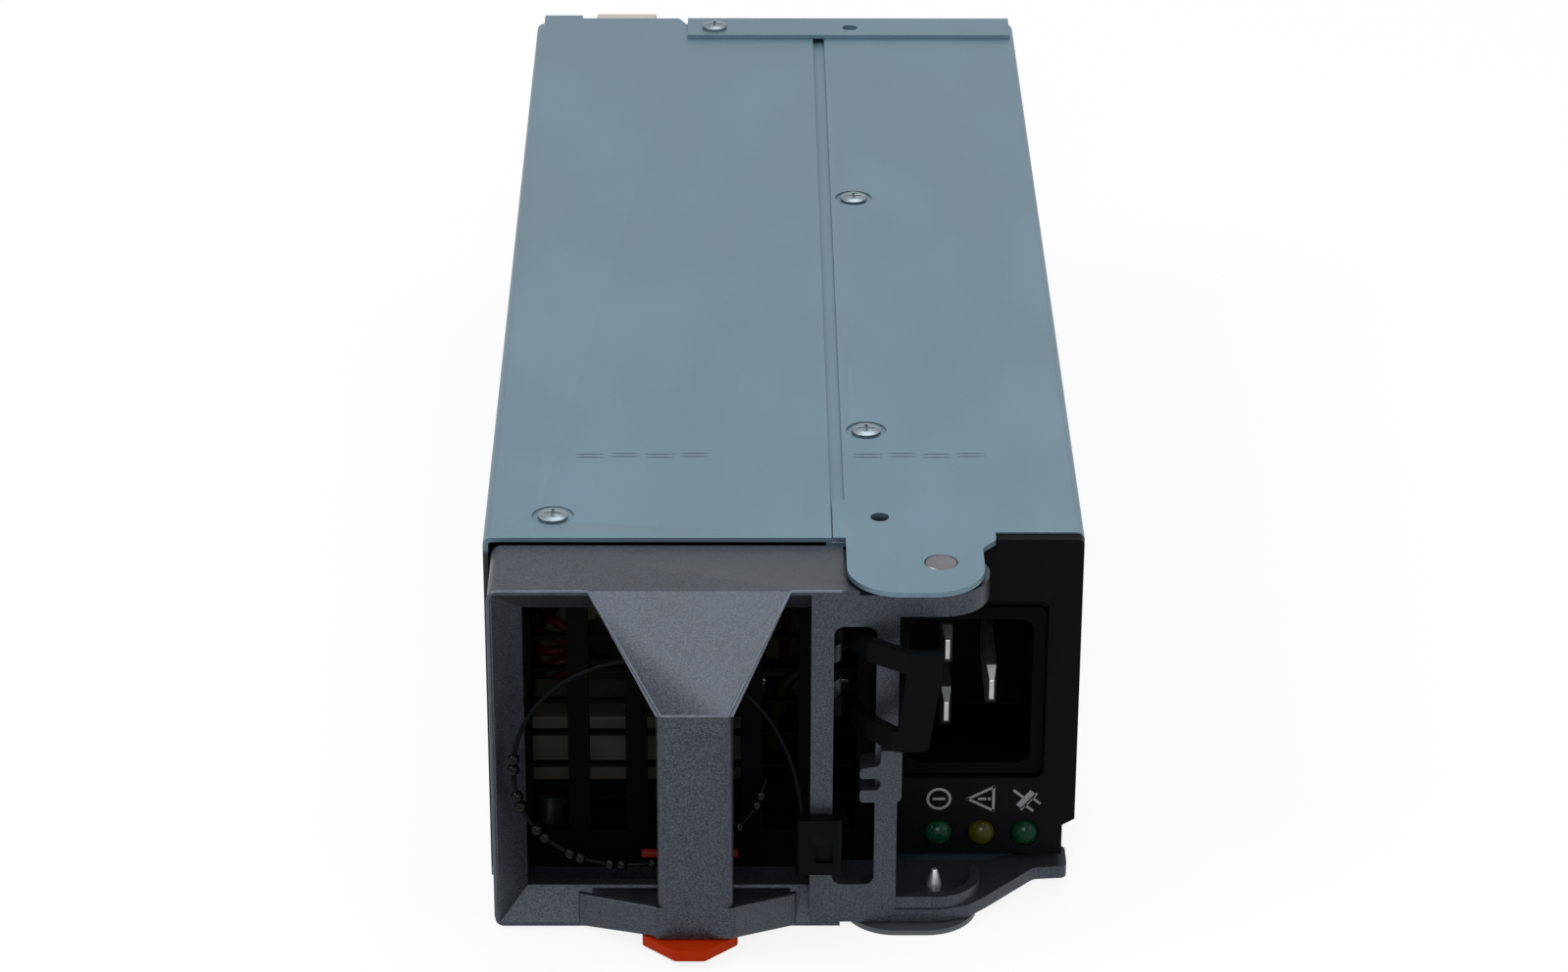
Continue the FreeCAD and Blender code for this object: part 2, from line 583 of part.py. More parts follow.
def make_rear_panel():
    """Rear wall with the connector cut-out and the fan opening, and a flange over the top."""
    body = new_body("rear_panel")
    low, high, top = "sheet + fit", f"{UNDER} - sheet - fit", "case_height + sheet"
    slab(body, "Wall", "XZ_Plane", "case_length", [
        (f"-{INSIDE} + fit", low), (INSIDE, low), (INSIDE, top), ("flange_left", top),
        ("flange_left", high), (f"-{INSIDE} + fit", high),
    ], "sheet")
    slab(body, "Flange", "XY_Plane", "case_height",
         corners_of("flange_left", INSIDE, "flange_front", "case_length + sheet"), "sheet")
    hollow(body, "PlugOpening", "XZ_Plane", "case_length - 1",
           corners_of("plug_left - fit", "plug_left + plug_width + fit",
                      "plug_foot - fit", "plug_top + fit"), "sheet + 2")
    hole(body, "FanOpening", "XZ_Plane", "case_length - 1", "fan_across", "fan_up", "fan_bore", "sheet + 2")
    for across in ("-fan_holes / 2", "fan_holes / 2"):
        for up in ("-fan_holes / 2", "fan_holes / 2"):
            hole(body, "FanHole", "XZ_Plane", "case_length - 1", f"fan_across + {across}", f"fan_up + {up}",
                 "screw_radius + fit", "sheet + 2")
    hole(body, "ScrewHole", "XY_Plane", "case_height + sheet", "rear_screw_across",
         "case_length - rear_screw_inset", "screw_radius + fit", "sheet * 1.5", -1)
    hole(body, "FlangeHole", "XY_Plane", "case_height + sheet", "rear_hole_across",
         "case_length - rear_screw_inset", "tool_hole_radius", "sheet * 1.5", -1)
    return keep(body, "rear_panel")


# ---------------------------------------------------------------- screws, rivet and pin

def turned(points):
    """A solid turned about Z from (radius, height) pairs."""
    wire = Part.makePolygon([V(r, 0, z) for r, z in points] + [V(points[0][0], 0, points[0][1])])
    return Part.Face(wire).revolve(V(0, 0, 0), V(0, 0, 1), 360)


def pan_screw(length):
    """A pan head screw with its seat at height 0 and the head above, cross recess included."""
    head, tall, shank = number("screw_head"), number("screw_head_height"), number("screw_radius")
    dome = tall * 0.45
    profile = [(0, -length), (shank, -length), (shank, 0), (head, 0), (head, tall - dome),
               (head * 0.72, tall - dome * 0.25), (0, tall)]
    solid = turned(profile)
    slot = head * 1.1
    for turn in (0, 90):
        wing = Part.makeBox(slot, tall * 0.4, tall, V(-slot / 2, -tall * 0.2, tall * 0.35))
        wing.rotate(V(0, 0, 0), V(0, 0, 1), turn)
        solid = solid.cut(wing)
    return solid


def make_screws():
    """The pan head screws that hold cover, flange and rear flange."""
    seat = number("case_height - dimple_depth")
    rear = number("case_length - rear_screw_inset")
    length = number("screw_length")
    spots = [
        (number("seam_screw_across"), number("seam_screw_front"), seat),
        (number("seam_screw_across"), number("seam_screw_rear"), seat),
        (number("front_screw_across"), number("front_screw_along"), seat),
        (number("rear_screw_across"), rear, number("case_height + sheet")),
    ]
    group("cover_screws", [pan_screw(length).translated(V(*spot)) for spot in spots])


def make_pivots():
    """Upper rivet, flush with the tongue, and the pointed lower pin, both on one axis."""
    top = number("case_height")
    tongue = number(UNDER)
    shank, head = number("pivot_radius"), number("rivet_head")
    tail = number("handle_top - arm_sunk - upper_arm - fit")
    edge = number("rivet_edge")
    rivet = turned([(0, top), (head - edge, top), (head, top - edge), (head, tongue), (shank, tongue),
                    (shank, tail), (head, tail), (head, tail - 1.0), (0, tail - 1.4)])
    group("upper_pivot_rivet", [rivet.translated(V(number("pivot_across"), -number("pivot_reach"), 0))])
    thin = number("lower_pivot")
    floor = number("sheet + fit + lower_arm")
    tip = floor + number("cone_height")
    pin = turned([(0, 0), (head, 0), (head, number("sheet")), (thin, number("sheet")), (thin, floor + 0.4),
                  (number("pin_tip"), tip), (0, tip)])
    group("lower_pivot_pin", [pin.translated(V(number("pivot_across"), -number("pivot_reach"), 0))])


# ---------------------------------------------------------------- front vent, bezel, inlet

def make_vent():
    """Moulded grille: tall slots between flat bars, with thin cross ribs set behind them."""
    body = new_body("front_vent")
    left, low, high = f"-{INSIDE} + fit", "sheet + fit", f"{UNDER} - sheet - fit"
    slab(body, "Plate", "XZ_Plane", "vent_front", corners_of(left, "vent_right", low, high), "vent_plate")
    skirt = sketch_on(body, "Skirt", "XZ_Plane", "vent_front + vent_plate")
    box_outline(skirt, left, "vent_right", low, high)
    box_outline(skirt, f"{left} + vent_wall", "vent_right - vent_wall", f"{low} + vent_wall",
                f"{high} - vent_wall")
    grow(body, skirt, "XZ_Plane", "vent_skirt - vent_plate")
    slot = hollow(body, "Slot", "XZ_Plane", "vent_front - 1",
                  corners_of("slot_left", "slot_left + slot_width", "slot_bottom", f"{high} - 2.4"),
                  "vent_plate + 2")
    repeat(body, [slot], "X_Axis", "slot_pitch", 6)
    rib = slab(body, "Rib", "XZ_Plane", "vent_front + 1",
               corners_of("slot_left - 1", "vent_right - 2", "slot_bottom + rib_pitch - rib_height / 2",
                          "slot_bottom + rib_pitch + rib_height / 2"), "vent_plate - 1")
    repeat(body, [rib], "Z_Axis", "rib_pitch", 8)
    hollow(body, "HookDoor", "XZ_Plane", "vent_front - 1",
           corners_of("hook_door_left", "hook_door_right", "0", "hook_door_top"), "vent_skirt + 2")
    boss(body, "ScrewBoss", "XY_Plane", f"{high}", "front_screw_across", "front_screw_along",
         "dimple", "screw_length", -1)
    hole(body, "Pilot", "XY_Plane", "case_height", "front_screw_across", "front_screw_along",
         "screw_radius + fit / 5", "screw_length + sheet", -1)
    return keep(body, "front_vent")


def make_bezel():
    """Moulded surround of the inlet with the sunk seat, the lamp holes and a skirt behind."""
    body = new_body("front_bezel")
    left, right = "vent_right + fit", f"{INSIDE} - fit"
    rim_top, top = "case_height - 0.3", f"{UNDER} - fit"
    rim_right = f"{HALF} - 0.2"
    notch = f"{HALF} - corner_cut - fit"
    slab(body, "Rim", "XZ_Plane", "-bezel_proud", [
        (left, "bezel_foot"), (notch, "bezel_foot"), (notch, "corner_cut_height - 1.3"),
        (rim_right, "corner_cut_height"), (rim_right, rim_top, "1.2"), ("tongue_root + fit", rim_top),
        ("tongue_root + fit", top), ("seam + lip + fit", top), ("seam + lip + fit", f"{top} - sheet"),
        (left, f"{top} - sheet"),
    ], "setback - fit / 5 + bezel_proud")
    slab(body, "Plate", "XZ_Plane", "setback - fit / 5", [
        (left, "bezel_foot"), (notch, "bezel_foot"), (notch, "corner_cut_height - 1.3"),
        (right, "corner_cut_height - 0.6"), (right, top), ("seam + lip + fit", top),
        ("seam + lip + fit", f"{top} - sheet"), (left, f"{top} - sheet"),
    ], "bezel_plate - bezel_proud - setback + fit / 5")
    skirt = sketch_on(body, "Skirt", "XZ_Plane", "bezel_plate - bezel_proud")
    inner = f"{top} - sheet"
    box_outline(skirt, left, right, "skirt_foot", inner)
    box_outline(skirt, f"{left} + bezel_wall", f"{right} - bezel_wall", "skirt_foot + bezel_wall",
                f"{inner} - bezel_wall")
    grow(body, skirt, "XZ_Plane", "bezel_skirt")
    wide, tall = "(socket_width / 2 + socket_wall)", "(socket_height / 2 + socket_wall)"
    hollow(body, "InletSeat", "XZ_Plane", "-bezel_proud - 1", [
        (f"inlet_across - {wide} - inlet_rim - fit", f"inlet_up - {tall} - inlet_rim - fit", "1.6"),
        (f"inlet_across + {wide} + inlet_rim + fit", f"inlet_up - {tall} - inlet_rim - fit", "1.6"),
        (f"inlet_across + {wide} + inlet_rim + fit", f"inlet_up + {tall} + inlet_rim + 1.8", "1.6"),
        (f"inlet_across - {wide} - inlet_rim - fit", f"inlet_up + {tall} + inlet_rim + 1.8", "1.6"),
    ], "1 + inlet_sunk + inlet_rim_depth")
    hollow(body, "InletHole", "XZ_Plane", "-bezel_proud - 1",
           corners_of(f"inlet_across - {wide} - fit", f"inlet_across + {wide} + fit",
                      f"inlet_up - {tall} - fit", f"inlet_up + {tall} + fit"), "bezel_plate + 2")
    for place in range(3):
        hole(body, "LampHole", "XZ_Plane", "-bezel_proud - 1", f"lamp_first + lamp_pitch * {place}",
             "lamp_up", "lamp_radius + fit / 2", "bezel_plate + 2")
    return keep(body, "front_bezel")


def make_inlet():
    """Appliance inlet: flange, shell and the recess that the cord connector enters."""
    body = new_body("ac_inlet")
    front = "(inlet_sunk - bezel_proud)"
    wide, tall = "(socket_width / 2 + socket_wall)", "(socket_height / 2 + socket_wall)"
    slab(body, "Flange", "XZ_Plane", front,
         corners_of(f"inlet_across - {wide} - inlet_rim", f"inlet_across + {wide} + inlet_rim",
                    f"inlet_up - {tall} - inlet_rim", f"inlet_up + {tall} + inlet_rim", "1.4"),
         "inlet_rim_depth")
    slab(body, "Shell", "XZ_Plane", f"{front} + inlet_rim_depth",
         corners_of(f"inlet_across - {wide}", f"inlet_across + {wide}", f"inlet_up - {tall}",
                    f"inlet_up + {tall}", "1.2"), "socket_depth + 2.5")
    hollow(body, "Recess", "XZ_Plane", f"{front} - 1",
           corners_of("inlet_across - socket_width / 2", "inlet_across + socket_width / 2",
                      "inlet_up - socket_height / 2", "inlet_up + socket_height / 2", "2.4"),
           "socket_depth + 1")
    for side, up in (("-1", "blade_spacing / 2"), ("-1", "-blade_spacing / 2"), ("1", "0")):
        middle = f"inlet_across + ({side}) * earth_offset / 2"
        hollow(body, "BladeSlot", "XZ_Plane", f"{front}",
               corners_of(f"{middle} - blade_thick / 2", f"{middle} + blade_thick / 2",
                          f"inlet_up + {up} - blade_tall / 2", f"inlet_up + {up} + blade_tall / 2"),
               "socket_depth + 6")
    return keep(body, "ac_inlet")


def inlet_blade(label, side, up, tip):
    """A flat contact whose tip tapers on all four sides; its tail is the solder tag behind the inlet."""
    body = new_body(label)
    end = "inlet_sunk - bezel_proud + inlet_rim_depth + socket_depth + 2.5 + blade_tail"
    middle, height = f"(inlet_across + ({side}) * earth_offset / 2)", f"(inlet_up + {up})"
    sketches = []
    for name, where, share in (("Tip", tip, "blade_tip"), ("Full", f"{tip} + blade_taper", "1")):
        sketch = sketch_on(body, name, "XZ_Plane", where)
        thick, tall = f"blade_thick * {share} / 2", f"blade_tall * {share} / 2"
        box_outline(sketch, f"{middle} - {thick}", f"{middle} + {thick}",
                    f"{height} - {tall}", f"{height} + {tall}")
        sketches.append(sketch)
    loft(body, *sketches)
    slab(body, "Blade", "XZ_Plane", f"{tip} + blade_taper",
         corners_of(f"{middle} - blade_thick / 2", f"{middle} + blade_thick / 2",
                    f"{height} - blade_tall / 2", f"{height} + blade_tall / 2"),
         f"{end} - ({tip}) - blade_taper")
    return keep(body, label)


def lamp(label, place):
    """A 5 mm indicator: domed body, collar behind the bezel and two leads to the board."""
    body = new_body(label)
    back = "bezel_plate - bezel_proud"
    front = "-bezel_proud - lamp_proud"
    bands = 4
    sketch = sketch_on(body, "Profile", "XY_Plane")
    dome = []
    for k in range(bands + 1):
        share, depth = math.sin(math.pi / 2 * k / bands), 1 - math.cos(math.pi / 2 * k / bands)
        dome.append((f"lamp_radius * {share:.4f}", f"{front} + lamp_dome * {depth:.4f}"))
    outline(sketch, [("0", f"{back} + 1")] + dome + [
        ("lamp_radius", back), ("lamp_radius + 0.45", back), ("lamp_radius + 0.45", f"{back} + 1"),
    ])
    turn = body.newObject("PartDesign::Revolution", "Turn")
    turn.Profile = sketch
    turn.ReferenceAxis = (sketch, ["V_Axis"])
    turn.Angle = 360
    for side in ("-1.27", "1.27"):
        slab(body, "Lead", "XZ_Plane", f"{back} + 0.8",
             corners_of(f"{side} - 0.25", f"{side} + 0.25", "-0.25", "0.25"), "lamp_lead")
    bind(body, "Placement.Base.x", f"lamp_first + lamp_pitch * {place}")
    bind(body, "Placement.Base.z", "lamp_up")
    return keep(body, label)


# ---------------------------------------------------------------- handle

FRONT = "-(pivot_reach + arm_radius)"
BACK = "-grip_gap"
GROOVE = f"({FRONT} + funnel_depth)"
ARM_TOP = "(handle_top - arm_sunk)"
LOW_ARM = "(sheet + fit)"
BARS_RIGHT = "(bar_left + bar_width + gap_width + second_bar)"
GRIP_BACK = "(-grip_front + grip_depth)"
GRIP_INNER = "(-grip_front + grip_skin)"


def make_handle():
    """Die-cast ejector handle: sloped frame, two bars, grip on wedges, arms and ejector cam."""
    body = new_body("handle")
    slab(body, "LeftWall", "XY_Plane", "handle_foot", [
        ("handle_left", BACK), ("handle_left", FRONT), ("handle_left + land", FRONT),
        ("handle_left + land + funnel", GROOVE), ("handle_left + land + funnel", f"{GROOVE} + skirt"),
        ("handle_left + skirt", f"{GROOVE} + skirt"), ("handle_left + skirt", BACK),
    ], "handle_top - handle_foot")
    for name, edge, side in (("TopWall", "handle_top", "-"), ("BottomWall", "handle_foot", "+")):
        bottom = f"{edge} {side} (land + funnel)"
        slab(body, name, "YZ_Plane", "handle_left", [
            (BACK, edge), (FRONT, edge), (FRONT, f"{edge} {side} land"), (GROOVE, bottom),
            (f"{GROOVE} + skirt", bottom), (f"{GROOVE} + skirt", f"{edge} {side} skirt"),
            (BACK, f"{edge} {side} skirt"),
        ], "bar_left - handle_left")
    slab(body, "Bars", "XZ_Plane", FRONT, [
        ("bar_left", "handle_foot"), ("seam - fit * 3", "handle_foot"), ("seam - fit * 3", LOW_ARM),
        (BARS_RIGHT, LOW_ARM), (BARS_RIGHT, ARM_TOP), ("bar_left", ARM_TOP),
    ], "bar_depth")
    slab(body, "UpperArm", "XY_Plane", f"{ARM_TOP} - upper_arm",
         corners_of("bar_left", "pivot_across", FRONT, BACK), "upper_arm + arm_sunk")
    boss(body, "UpperEnd", "XY_Plane", f"{ARM_TOP} - upper_arm", "pivot_across", "-pivot_reach",
         "arm_radius", "upper_arm")
    slab(body, "LowerArm", "XY_Plane", LOW_ARM, [
        ("bar_left", BACK), ("bar_left", FRONT), ("pivot_across + 1", FRONT, "6"),
        ("pivot_across + 6", f"{FRONT} + 1.6", "4"), ("pivot_across + 9.4", f"{FRONT} + 4.8", "6"),
        ("ejector_right - 6.2", "-3.6", "2.4"), ("ejector_right", "-3.1", "1.4"),
        ("ejector_right", "ejector_back", "1.2"), ("ejector_right - 3", "ejector_back + 0.6", "1.2"),
        ("pivot_across + 10.3", BACK, "3"),
    ], "lower_arm")
    rim, inner = "(arm_radius - rim_step)", "(arm_radius - rim_step - rim_wall)"
    slab(body, "Rim", "XY_Plane", f"{LOW_ARM} + lower_arm", [
        (f"{BARS_RIGHT} - 1", f"-pivot_reach - {rim}"),
        (f"pivot_across + {rim}", f"-pivot_reach - {rim}", rim),
        (f"pivot_across + {rim}", "-pivot_reach + 2.6"), (f"pivot_across + {inner}", "-pivot_reach + 2.6"),
        (f"pivot_across + {inner}", f"-pivot_reach - {inner}", inner),
        (f"{BARS_RIGHT} - 1", f"-pivot_reach - {inner}"),
    ], "rim_height")
    hollow(body, "TongueSink", "XY_Plane", ARM_TOP, tongue_corners("fit * 2"), "arm_sunk + 1")
    hollow(body, "BarGap", "XZ_Plane", f"{FRONT} - 1",
           corners_of("bar_left + bar_width", "bar_left + bar_width + gap_width",
                      "gap_bottom", "gap_top", "1.8"), "bar_depth + 1.01")
    for up, rise in (("handle_top", "1"), ("handle_foot", "-1")):
        round_corner(body, "XZ_Plane", "handle_left", "-1", up, rise, "handle_round", f"{FRONT} - 1",
                     f"{BACK} - ({FRONT}) + 2")
    round_corner(body, "XY_Plane", "handle_left", "-1", BACK, "1", "handle_round", "handle_foot - 1",
                 "handle_top - handle_foot + 2")
    make_grip(body)
    make_cord_hook(body)
    hole(body, "UpperPivot", "XY_Plane", "handle_top + 1", "pivot_across", "-pivot_reach",
         "pivot_radius + running", "upper_arm + 3", -1)
    hole(body, "LowerPivot", "XY_Plane", "0", "pivot_across", "-pivot_reach", "lower_pivot + running",
         f"{LOW_ARM} + lower_arm + 1")
    return keep(body, "handle")


def round_corner(body, plane, across, side, up, rise, radius, at, length):
    """Rounds one outside corner of a frame, seen along the plane's axis; side and rise point outward."""
    near, low = f"{across} - ({side}) * ({radius} + 0.4)", f"{up} - ({rise}) * ({radius} + 0.4)"
    far, high = f"{across} + ({side})", f"{up} + ({rise})"
    hollow(body, "Corner", plane, at,
           [(near, high), (far, high), (far, low), (across, low), (across, up, radius), (near, up)], length)


def make_grip(body):
    """Grip channel, the wedge above it and the hollow chin below it, with room for the latch."""
    wide = sketch_on(body, "WedgeRoot", "XY_Plane", "handle_top")
    box_outline(wide, "wedge_left", "wedge_right", FRONT, f"{FRONT} + grip_skin")
    narrow = sketch_on(body, "WedgeTip", "XY_Plane", "grip_top")
    box_outline(narrow, "grip_left", "grip_right", "-grip_front", GRIP_INNER)
    loft(body, wide, narrow)
    slab(body, "Grip", "XY_Plane", "grip_foot", [
        ("grip_left", GRIP_BACK), ("grip_left", "-grip_front", "1.6"), ("grip_right", "-grip_front", "1.6"),
        ("grip_right", GRIP_BACK), ("grip_right - grip_wall", GRIP_BACK),
        ("grip_right - grip_wall", GRIP_INNER, "0.8"), ("grip_left + grip_wall", GRIP_INNER, "0.8"),
        ("grip_left + grip_wall", GRIP_BACK),
    ], "grip_top - grip_foot")
    root = sketch_on(body, "ChinRoot", "XZ_Plane", f"{FRONT} + grip_skin")
    box_outline(root, "wedge_left", "wedge_right", "handle_foot", "handle_foot + chin")
    tip = sketch_on(body, "ChinTip", "XZ_Plane", "-grip_front")
    box_outline(tip, "grip_left", "grip_right", "grip_foot", "grip_foot + chin")
    loft(body, root, tip)
    roof = "(handle_foot + chin - skirt)"
    hollow(body, "ChinHollow", "XY_Plane", "-1", [
        ("wedge_left + skirt * 2", f"{FRONT} + grip_skin / 2"), ("grip_left + grip_wall", GRIP_INNER),
        ("grip_right - grip_wall", GRIP_INNER), ("wedge_right - skirt * 2", f"{FRONT} + grip_skin / 2"),
    ], f"{roof} + 1")
    hollow(body, "WebRoom", "XY_Plane", "-1",
           corners_of("grip_left + grip_wall", "grip_right - grip_wall", GRIP_INNER, GRIP_BACK),
           "latch_axis_up + 1")
    hollow(body, "HookRoom", "XY_Plane", "-1",
           corners_of("latch_across - hook_width / 2 - 1.2", "latch_across + hook_width / 2 + 1.2",
                      FRONT, f"{BACK} + 1"), f"{roof} + 1")
    hollow(body, "TabRoom", "XY_Plane", "-1",
           corners_of("latch_across - latch_width / 2 - 0.8", "latch_across + latch_width / 2 + 0.8",
                      "-latch_reach", "-latch_axis_reach + web_thick + 1.4"),
           "1 + latch_foot + latch_thick + fit * 2")
    hole(body, "EarHole", "YZ_Plane", "grip_left - 1", "-latch_axis_reach", "latch_axis_up",
         "ear_radius + running", "grip_right - grip_left + 2")


def make_cord_hook(body):
    """Forked hook on the second bar and the two knuckles that carry the cord clip."""
    gap = "bar_left + bar_width + gap_width"
    slab(body, "Fork", "XZ_Plane", f"{FRONT} - 2.2", [
        (f"{gap} - 2.8", "27.7", "0.6"), (f"{BARS_RIGHT} + 0.7", "27.7", "1.2"),
        (f"{BARS_RIGHT} + 0.7", "38.3", "0.6"),
        (f"{gap} + 1", "38.3", "0.4"), (f"{gap} + 0.8", "35.2", "1.2"),
        (f"{gap} - 2.8", "34.6", "0.8"), (f"{gap} - 2.8", "32.6", "0.5"), (f"{gap} + 0.9", "32.6", "1"),
        (f"{gap} + 0.9", "30.2", "1"), (f"{gap} - 2.8", "30.2", "0.5"),
    ], "2.2 + bar_depth")
    for low in ("clip_foot + clip_arm + fit * 2", "clip_top - clip_arm - fit * 2 - knuckle"):
        slab(body, "KnuckleRoot", "XY_Plane", low,
             corners_of("bar_left + 1", "clip_across", f"{FRONT} + bar_depth - 0.5",
                        "-clip_setback + clip_rod + knuckle_wall"), "knuckle")
        boss(body, "Knuckle", "XY_Plane", low, "clip_across", "-clip_setback", "clip_rod + knuckle_wall",
             "knuckle")
    hole(body, "RodHole", "XY_Plane", "clip_foot", "clip_across", "-clip_setback", "clip_rod + running",
         "clip_top - clip_foot")


# ---------------------------------------------------------------- latch, cord clip, tie

def make_latch():
    """Release latch: thumb tab in front, hook behind, web and ears that pivot in the grip."""
    body = new_body("release_latch")
    left, right = "latch_across - latch_width / 2", "latch_across + latch_width / 2"
    axis, tread = "-latch_axis_reach", "latch_foot + hook_thick + 0.8"
    slab(body, "Tab", "XY_Plane", "latch_foot", [
        (left, f"{axis} + 1"), (left, f"{axis} - 3", "1"),
        ("latch_across - latch_tip / 2", "-latch_reach", "1.3"),
        ("latch_across + latch_tip / 2", "-latch_reach", "1.3"),
        (right, f"{axis} - 3", "1"), (right, f"{axis} + 1"),
    ], "latch_thick")
    slab(body, "Hook", "YZ_Plane", "latch_across - hook_width / 2", [
        (f"{axis} - 1", "latch_foot"), ("hook_into", "latch_foot"), ("hook_into", "latch_foot + 0.7"),
        ("hook_into - 1.8", tread), ("hook_into - 4", tread),
        ("hook_into - 4", "latch_foot + hook_thick"), (f"{axis} - 1", "latch_foot + hook_thick"),
    ], "hook_width")
    near, far = "latch_across - web_width / 2", "latch_across + web_width / 2"
    slab(body, "Web", "XZ_Plane", f"{axis} - web_thick / 2", [
        (f"{near} - 0.8", "latch_foot"), (f"{far} + 0.8", "latch_foot"), (far, "latch_foot + 6"),
        (far, "latch_axis_up"), (near, "latch_axis_up"), (near, "latch_foot + 6"),
    ], "web_thick")
    boss(body, "Ears", "YZ_Plane", left, axis, "latch_axis_up", "ear_radius", "latch_width")
    return keep(body, "release_latch")


def make_clip():
    """Swinging cord clip: a rod in the handle's knuckles, two cranked arms and a flat plate."""
    body = new_body("cord_clip")
    boss(body, "Rod", "XY_Plane", "clip_foot", "clip_across", "-clip_setback", "clip_rod",
         "clip_top - clip_foot")
    front, back = "-clip_front", "(-clip_front + clip_plate)"
    for low, lean in (("clip_foot", "clip_lean"), ("clip_top - clip_arm", "0")):
        near = f"(clip_near - {lean})"
        slab(body, "Arm", "XY_Plane", low, [
            ("clip_across", "-clip_setback - clip_plate / 2"),
            ("clip_across + 3", "-clip_setback - clip_plate / 2", "0.8"),
            ("clip_across + 6.7", "-clip_setback - 8.7", "2.4"), (near, front, "2"), (f"{near} + 2", front),
            (f"{near} + 2", back), (f"{near} + 0.6", back, "2"),
            ("clip_across + 8.2", "-clip_setback - 7.3", "1.2"),
            ("clip_across + 4.2", "-clip_setback + clip_plate / 2", "1.6"),
            ("clip_across", "-clip_setback + clip_plate / 2"),
        ], "clip_arm")
    slab(body, "Plate", "XZ_Plane", front, [
        ("clip_near - clip_lean", "clip_foot"), ("clip_near - clip_lean + clip_wide", "clip_foot", "0.9"),
        ("clip_near + clip_wide", "clip_top", "0.9"), ("clip_near", "clip_top"),
    ], "clip_plate")
    return keep(body, "cord_clip")


def make_tie_head():
    """Head of the beaded tie, looped round the first bar."""
    body = new_body("tie_head")
    slab(body, "Head", "XY_Plane", "head_foot", [
        ("head_left", f"{FRONT} + 1"), ("head_left", "-head_front", "1"),
        ("head_right", "-head_front", "1"), ("head_right", f"{FRONT} + 1"),
    ], "head_top - head_foot")
    slab(body, "Loop", "XY_Plane", "head_foot + 2.6",
         corners_of("bar_left - fit - 1.6", "bar_left + bar_width + fit + 1.6", f"{FRONT} - 1",
                    f"{FRONT} + bar_depth + fit + 1.6", "1"), "head_top - head_foot - 5.2")
    hollow(body, "BarRoom", "XY_Plane", "head_foot - 1",
           corners_of("bar_left - fit", "bar_left + bar_width + fit", f"{FRONT} - fit",
                      f"{FRONT} + bar_depth + fit"), "head_top - head_foot + 2")
    hollow(body, "StrandSlot", "XZ_Plane", "-head_front - 1",
           corners_of("head_left + 3.4", "head_right - 1.6",
                      "head_foot + 2.4", "head_top - 5", "0.6"), "1.8")
    return keep(body, "tie_head")


# Route of the tie's strand in the plane in front of the frame: across and up, chosen by hand.
STRAND = [
    (3.2, 24.3), (2.3, 31.5), (0.0, 38.8), (-3.2, 45.0), (-7.9, 50.2), (-14.0, 54.0), (-20.9, 55.9),
    (-27.8, 56.1), (-34.8, 54.2), (-40.8, 50.6), (-45.6, 45.0), (-48.2, 38.2), (-48.6, 31.0),
    (-46.7, 24.0), (-42.0, 18.4), (-35.6, 14.7), (-27.6, 13.6), (-19.4, 14.7), (-12.2, 18.2),
    (-6.9, 23.0), (-4.2, 28.0), (-3.3, 32.0),
]
STRAND_REACH = -19.0


def round_route(points):
    """Straight runs joined by tangent arcs, as a wire; also prints the arc radii."""
    radii, pieces, start = [], [], points[0]
    for before, corner, after in zip(points, points[1:], points[2:]):
        back, ahead = before - corner, after - corner
        half = back.getAngle(ahead) / 2
        inset = 0.45 * min(back.Length, ahead.Length)
        radii.append(inset * math.tan(half))
        enter, leave = corner + back.normalize() * inset, corner + ahead.normalize() * inset
        middle = corner + (back + ahead).normalize() * (radii[-1] / math.sin(half) - radii[-1])
        pieces.append(Part.makeLine(start, enter))
        pieces.append(Part.Arc(enter, middle, leave).toShape())
        start = leave
    pieces.append(Part.makeLine(start, points[-1]))
    return Part.Wire(pieces), radii


SIDES = 8


def polygon_wire(centre, direction, radius, sides=SIDES):
    """A regular outline across a direction, with the area of the circle that it stands for."""
    fair = radius * math.sqrt(2 * math.pi / (sides * math.sin(2 * math.pi / sides)))
    turn = FreeCAD.Rotation(V(0, 0, 1), direction)
    ring_points = []
    for k in range(sides):
        angle = 2 * math.pi * (k + 0.5) / sides
        ring_points.append(centre + turn.multVec(V(math.cos(angle), math.sin(angle), 0) * fair))
    return Part.makePolygon(ring_points + ring_points[:1])


def tube(points, radius):
    """A tube of that radius along such a route."""
    path, radii = round_route(points)
    direction = (points[1] - points[0]).normalize()
    solid = path.makePipeShell([polygon_wire(points[0], direction, radius)], True, False)
    print("tube: length", round(path.Length, 1), "least arc radius", round(min(radii), 1),
          "volume share", round(solid.Volume / (path.Length * math.pi * radius ** 2), 3))
    return solid


def make_strand():
    points = [V(across, STRAND_REACH, up) for across, up in STRAND]
    group("tie_strand", [tube(points, number("strand") / 2)])


def make_latch_spring():
    """Torsion spring on the latch pivot: a close coil and two legs against grip and web."""
    wire, radius = 0.25, number("ear_radius") + 0.6
    left = number("latch_across + web_width / 2 + fit")
    helix = Part.makeHelix(wire * 2.4, wire * 2.4 * 2.5, radius)
    coil = Part.Wire(helix).makePipeShell([polygon_wire(V(radius, 0, 0), V(0, 1, 0), wire, 6)], True, True)
    leg = Part.makeCylinder(wire, number("grip_front - grip_skin - latch_axis_reach") - wire,
                            V(radius, 0, 0), V(0, -1, 0))
    spring = coil.fuse(leg)
    spring.rotate(V(0, 0, 0), V(0, 1, 0), 90)
    spring.translate(V(left, -number("latch_axis_reach"), number("latch_axis_up")))
    group("latch_spring", [spring])


# ---------------------------------------------------------------- boards and power parts

DECK = "(board_up + board)"


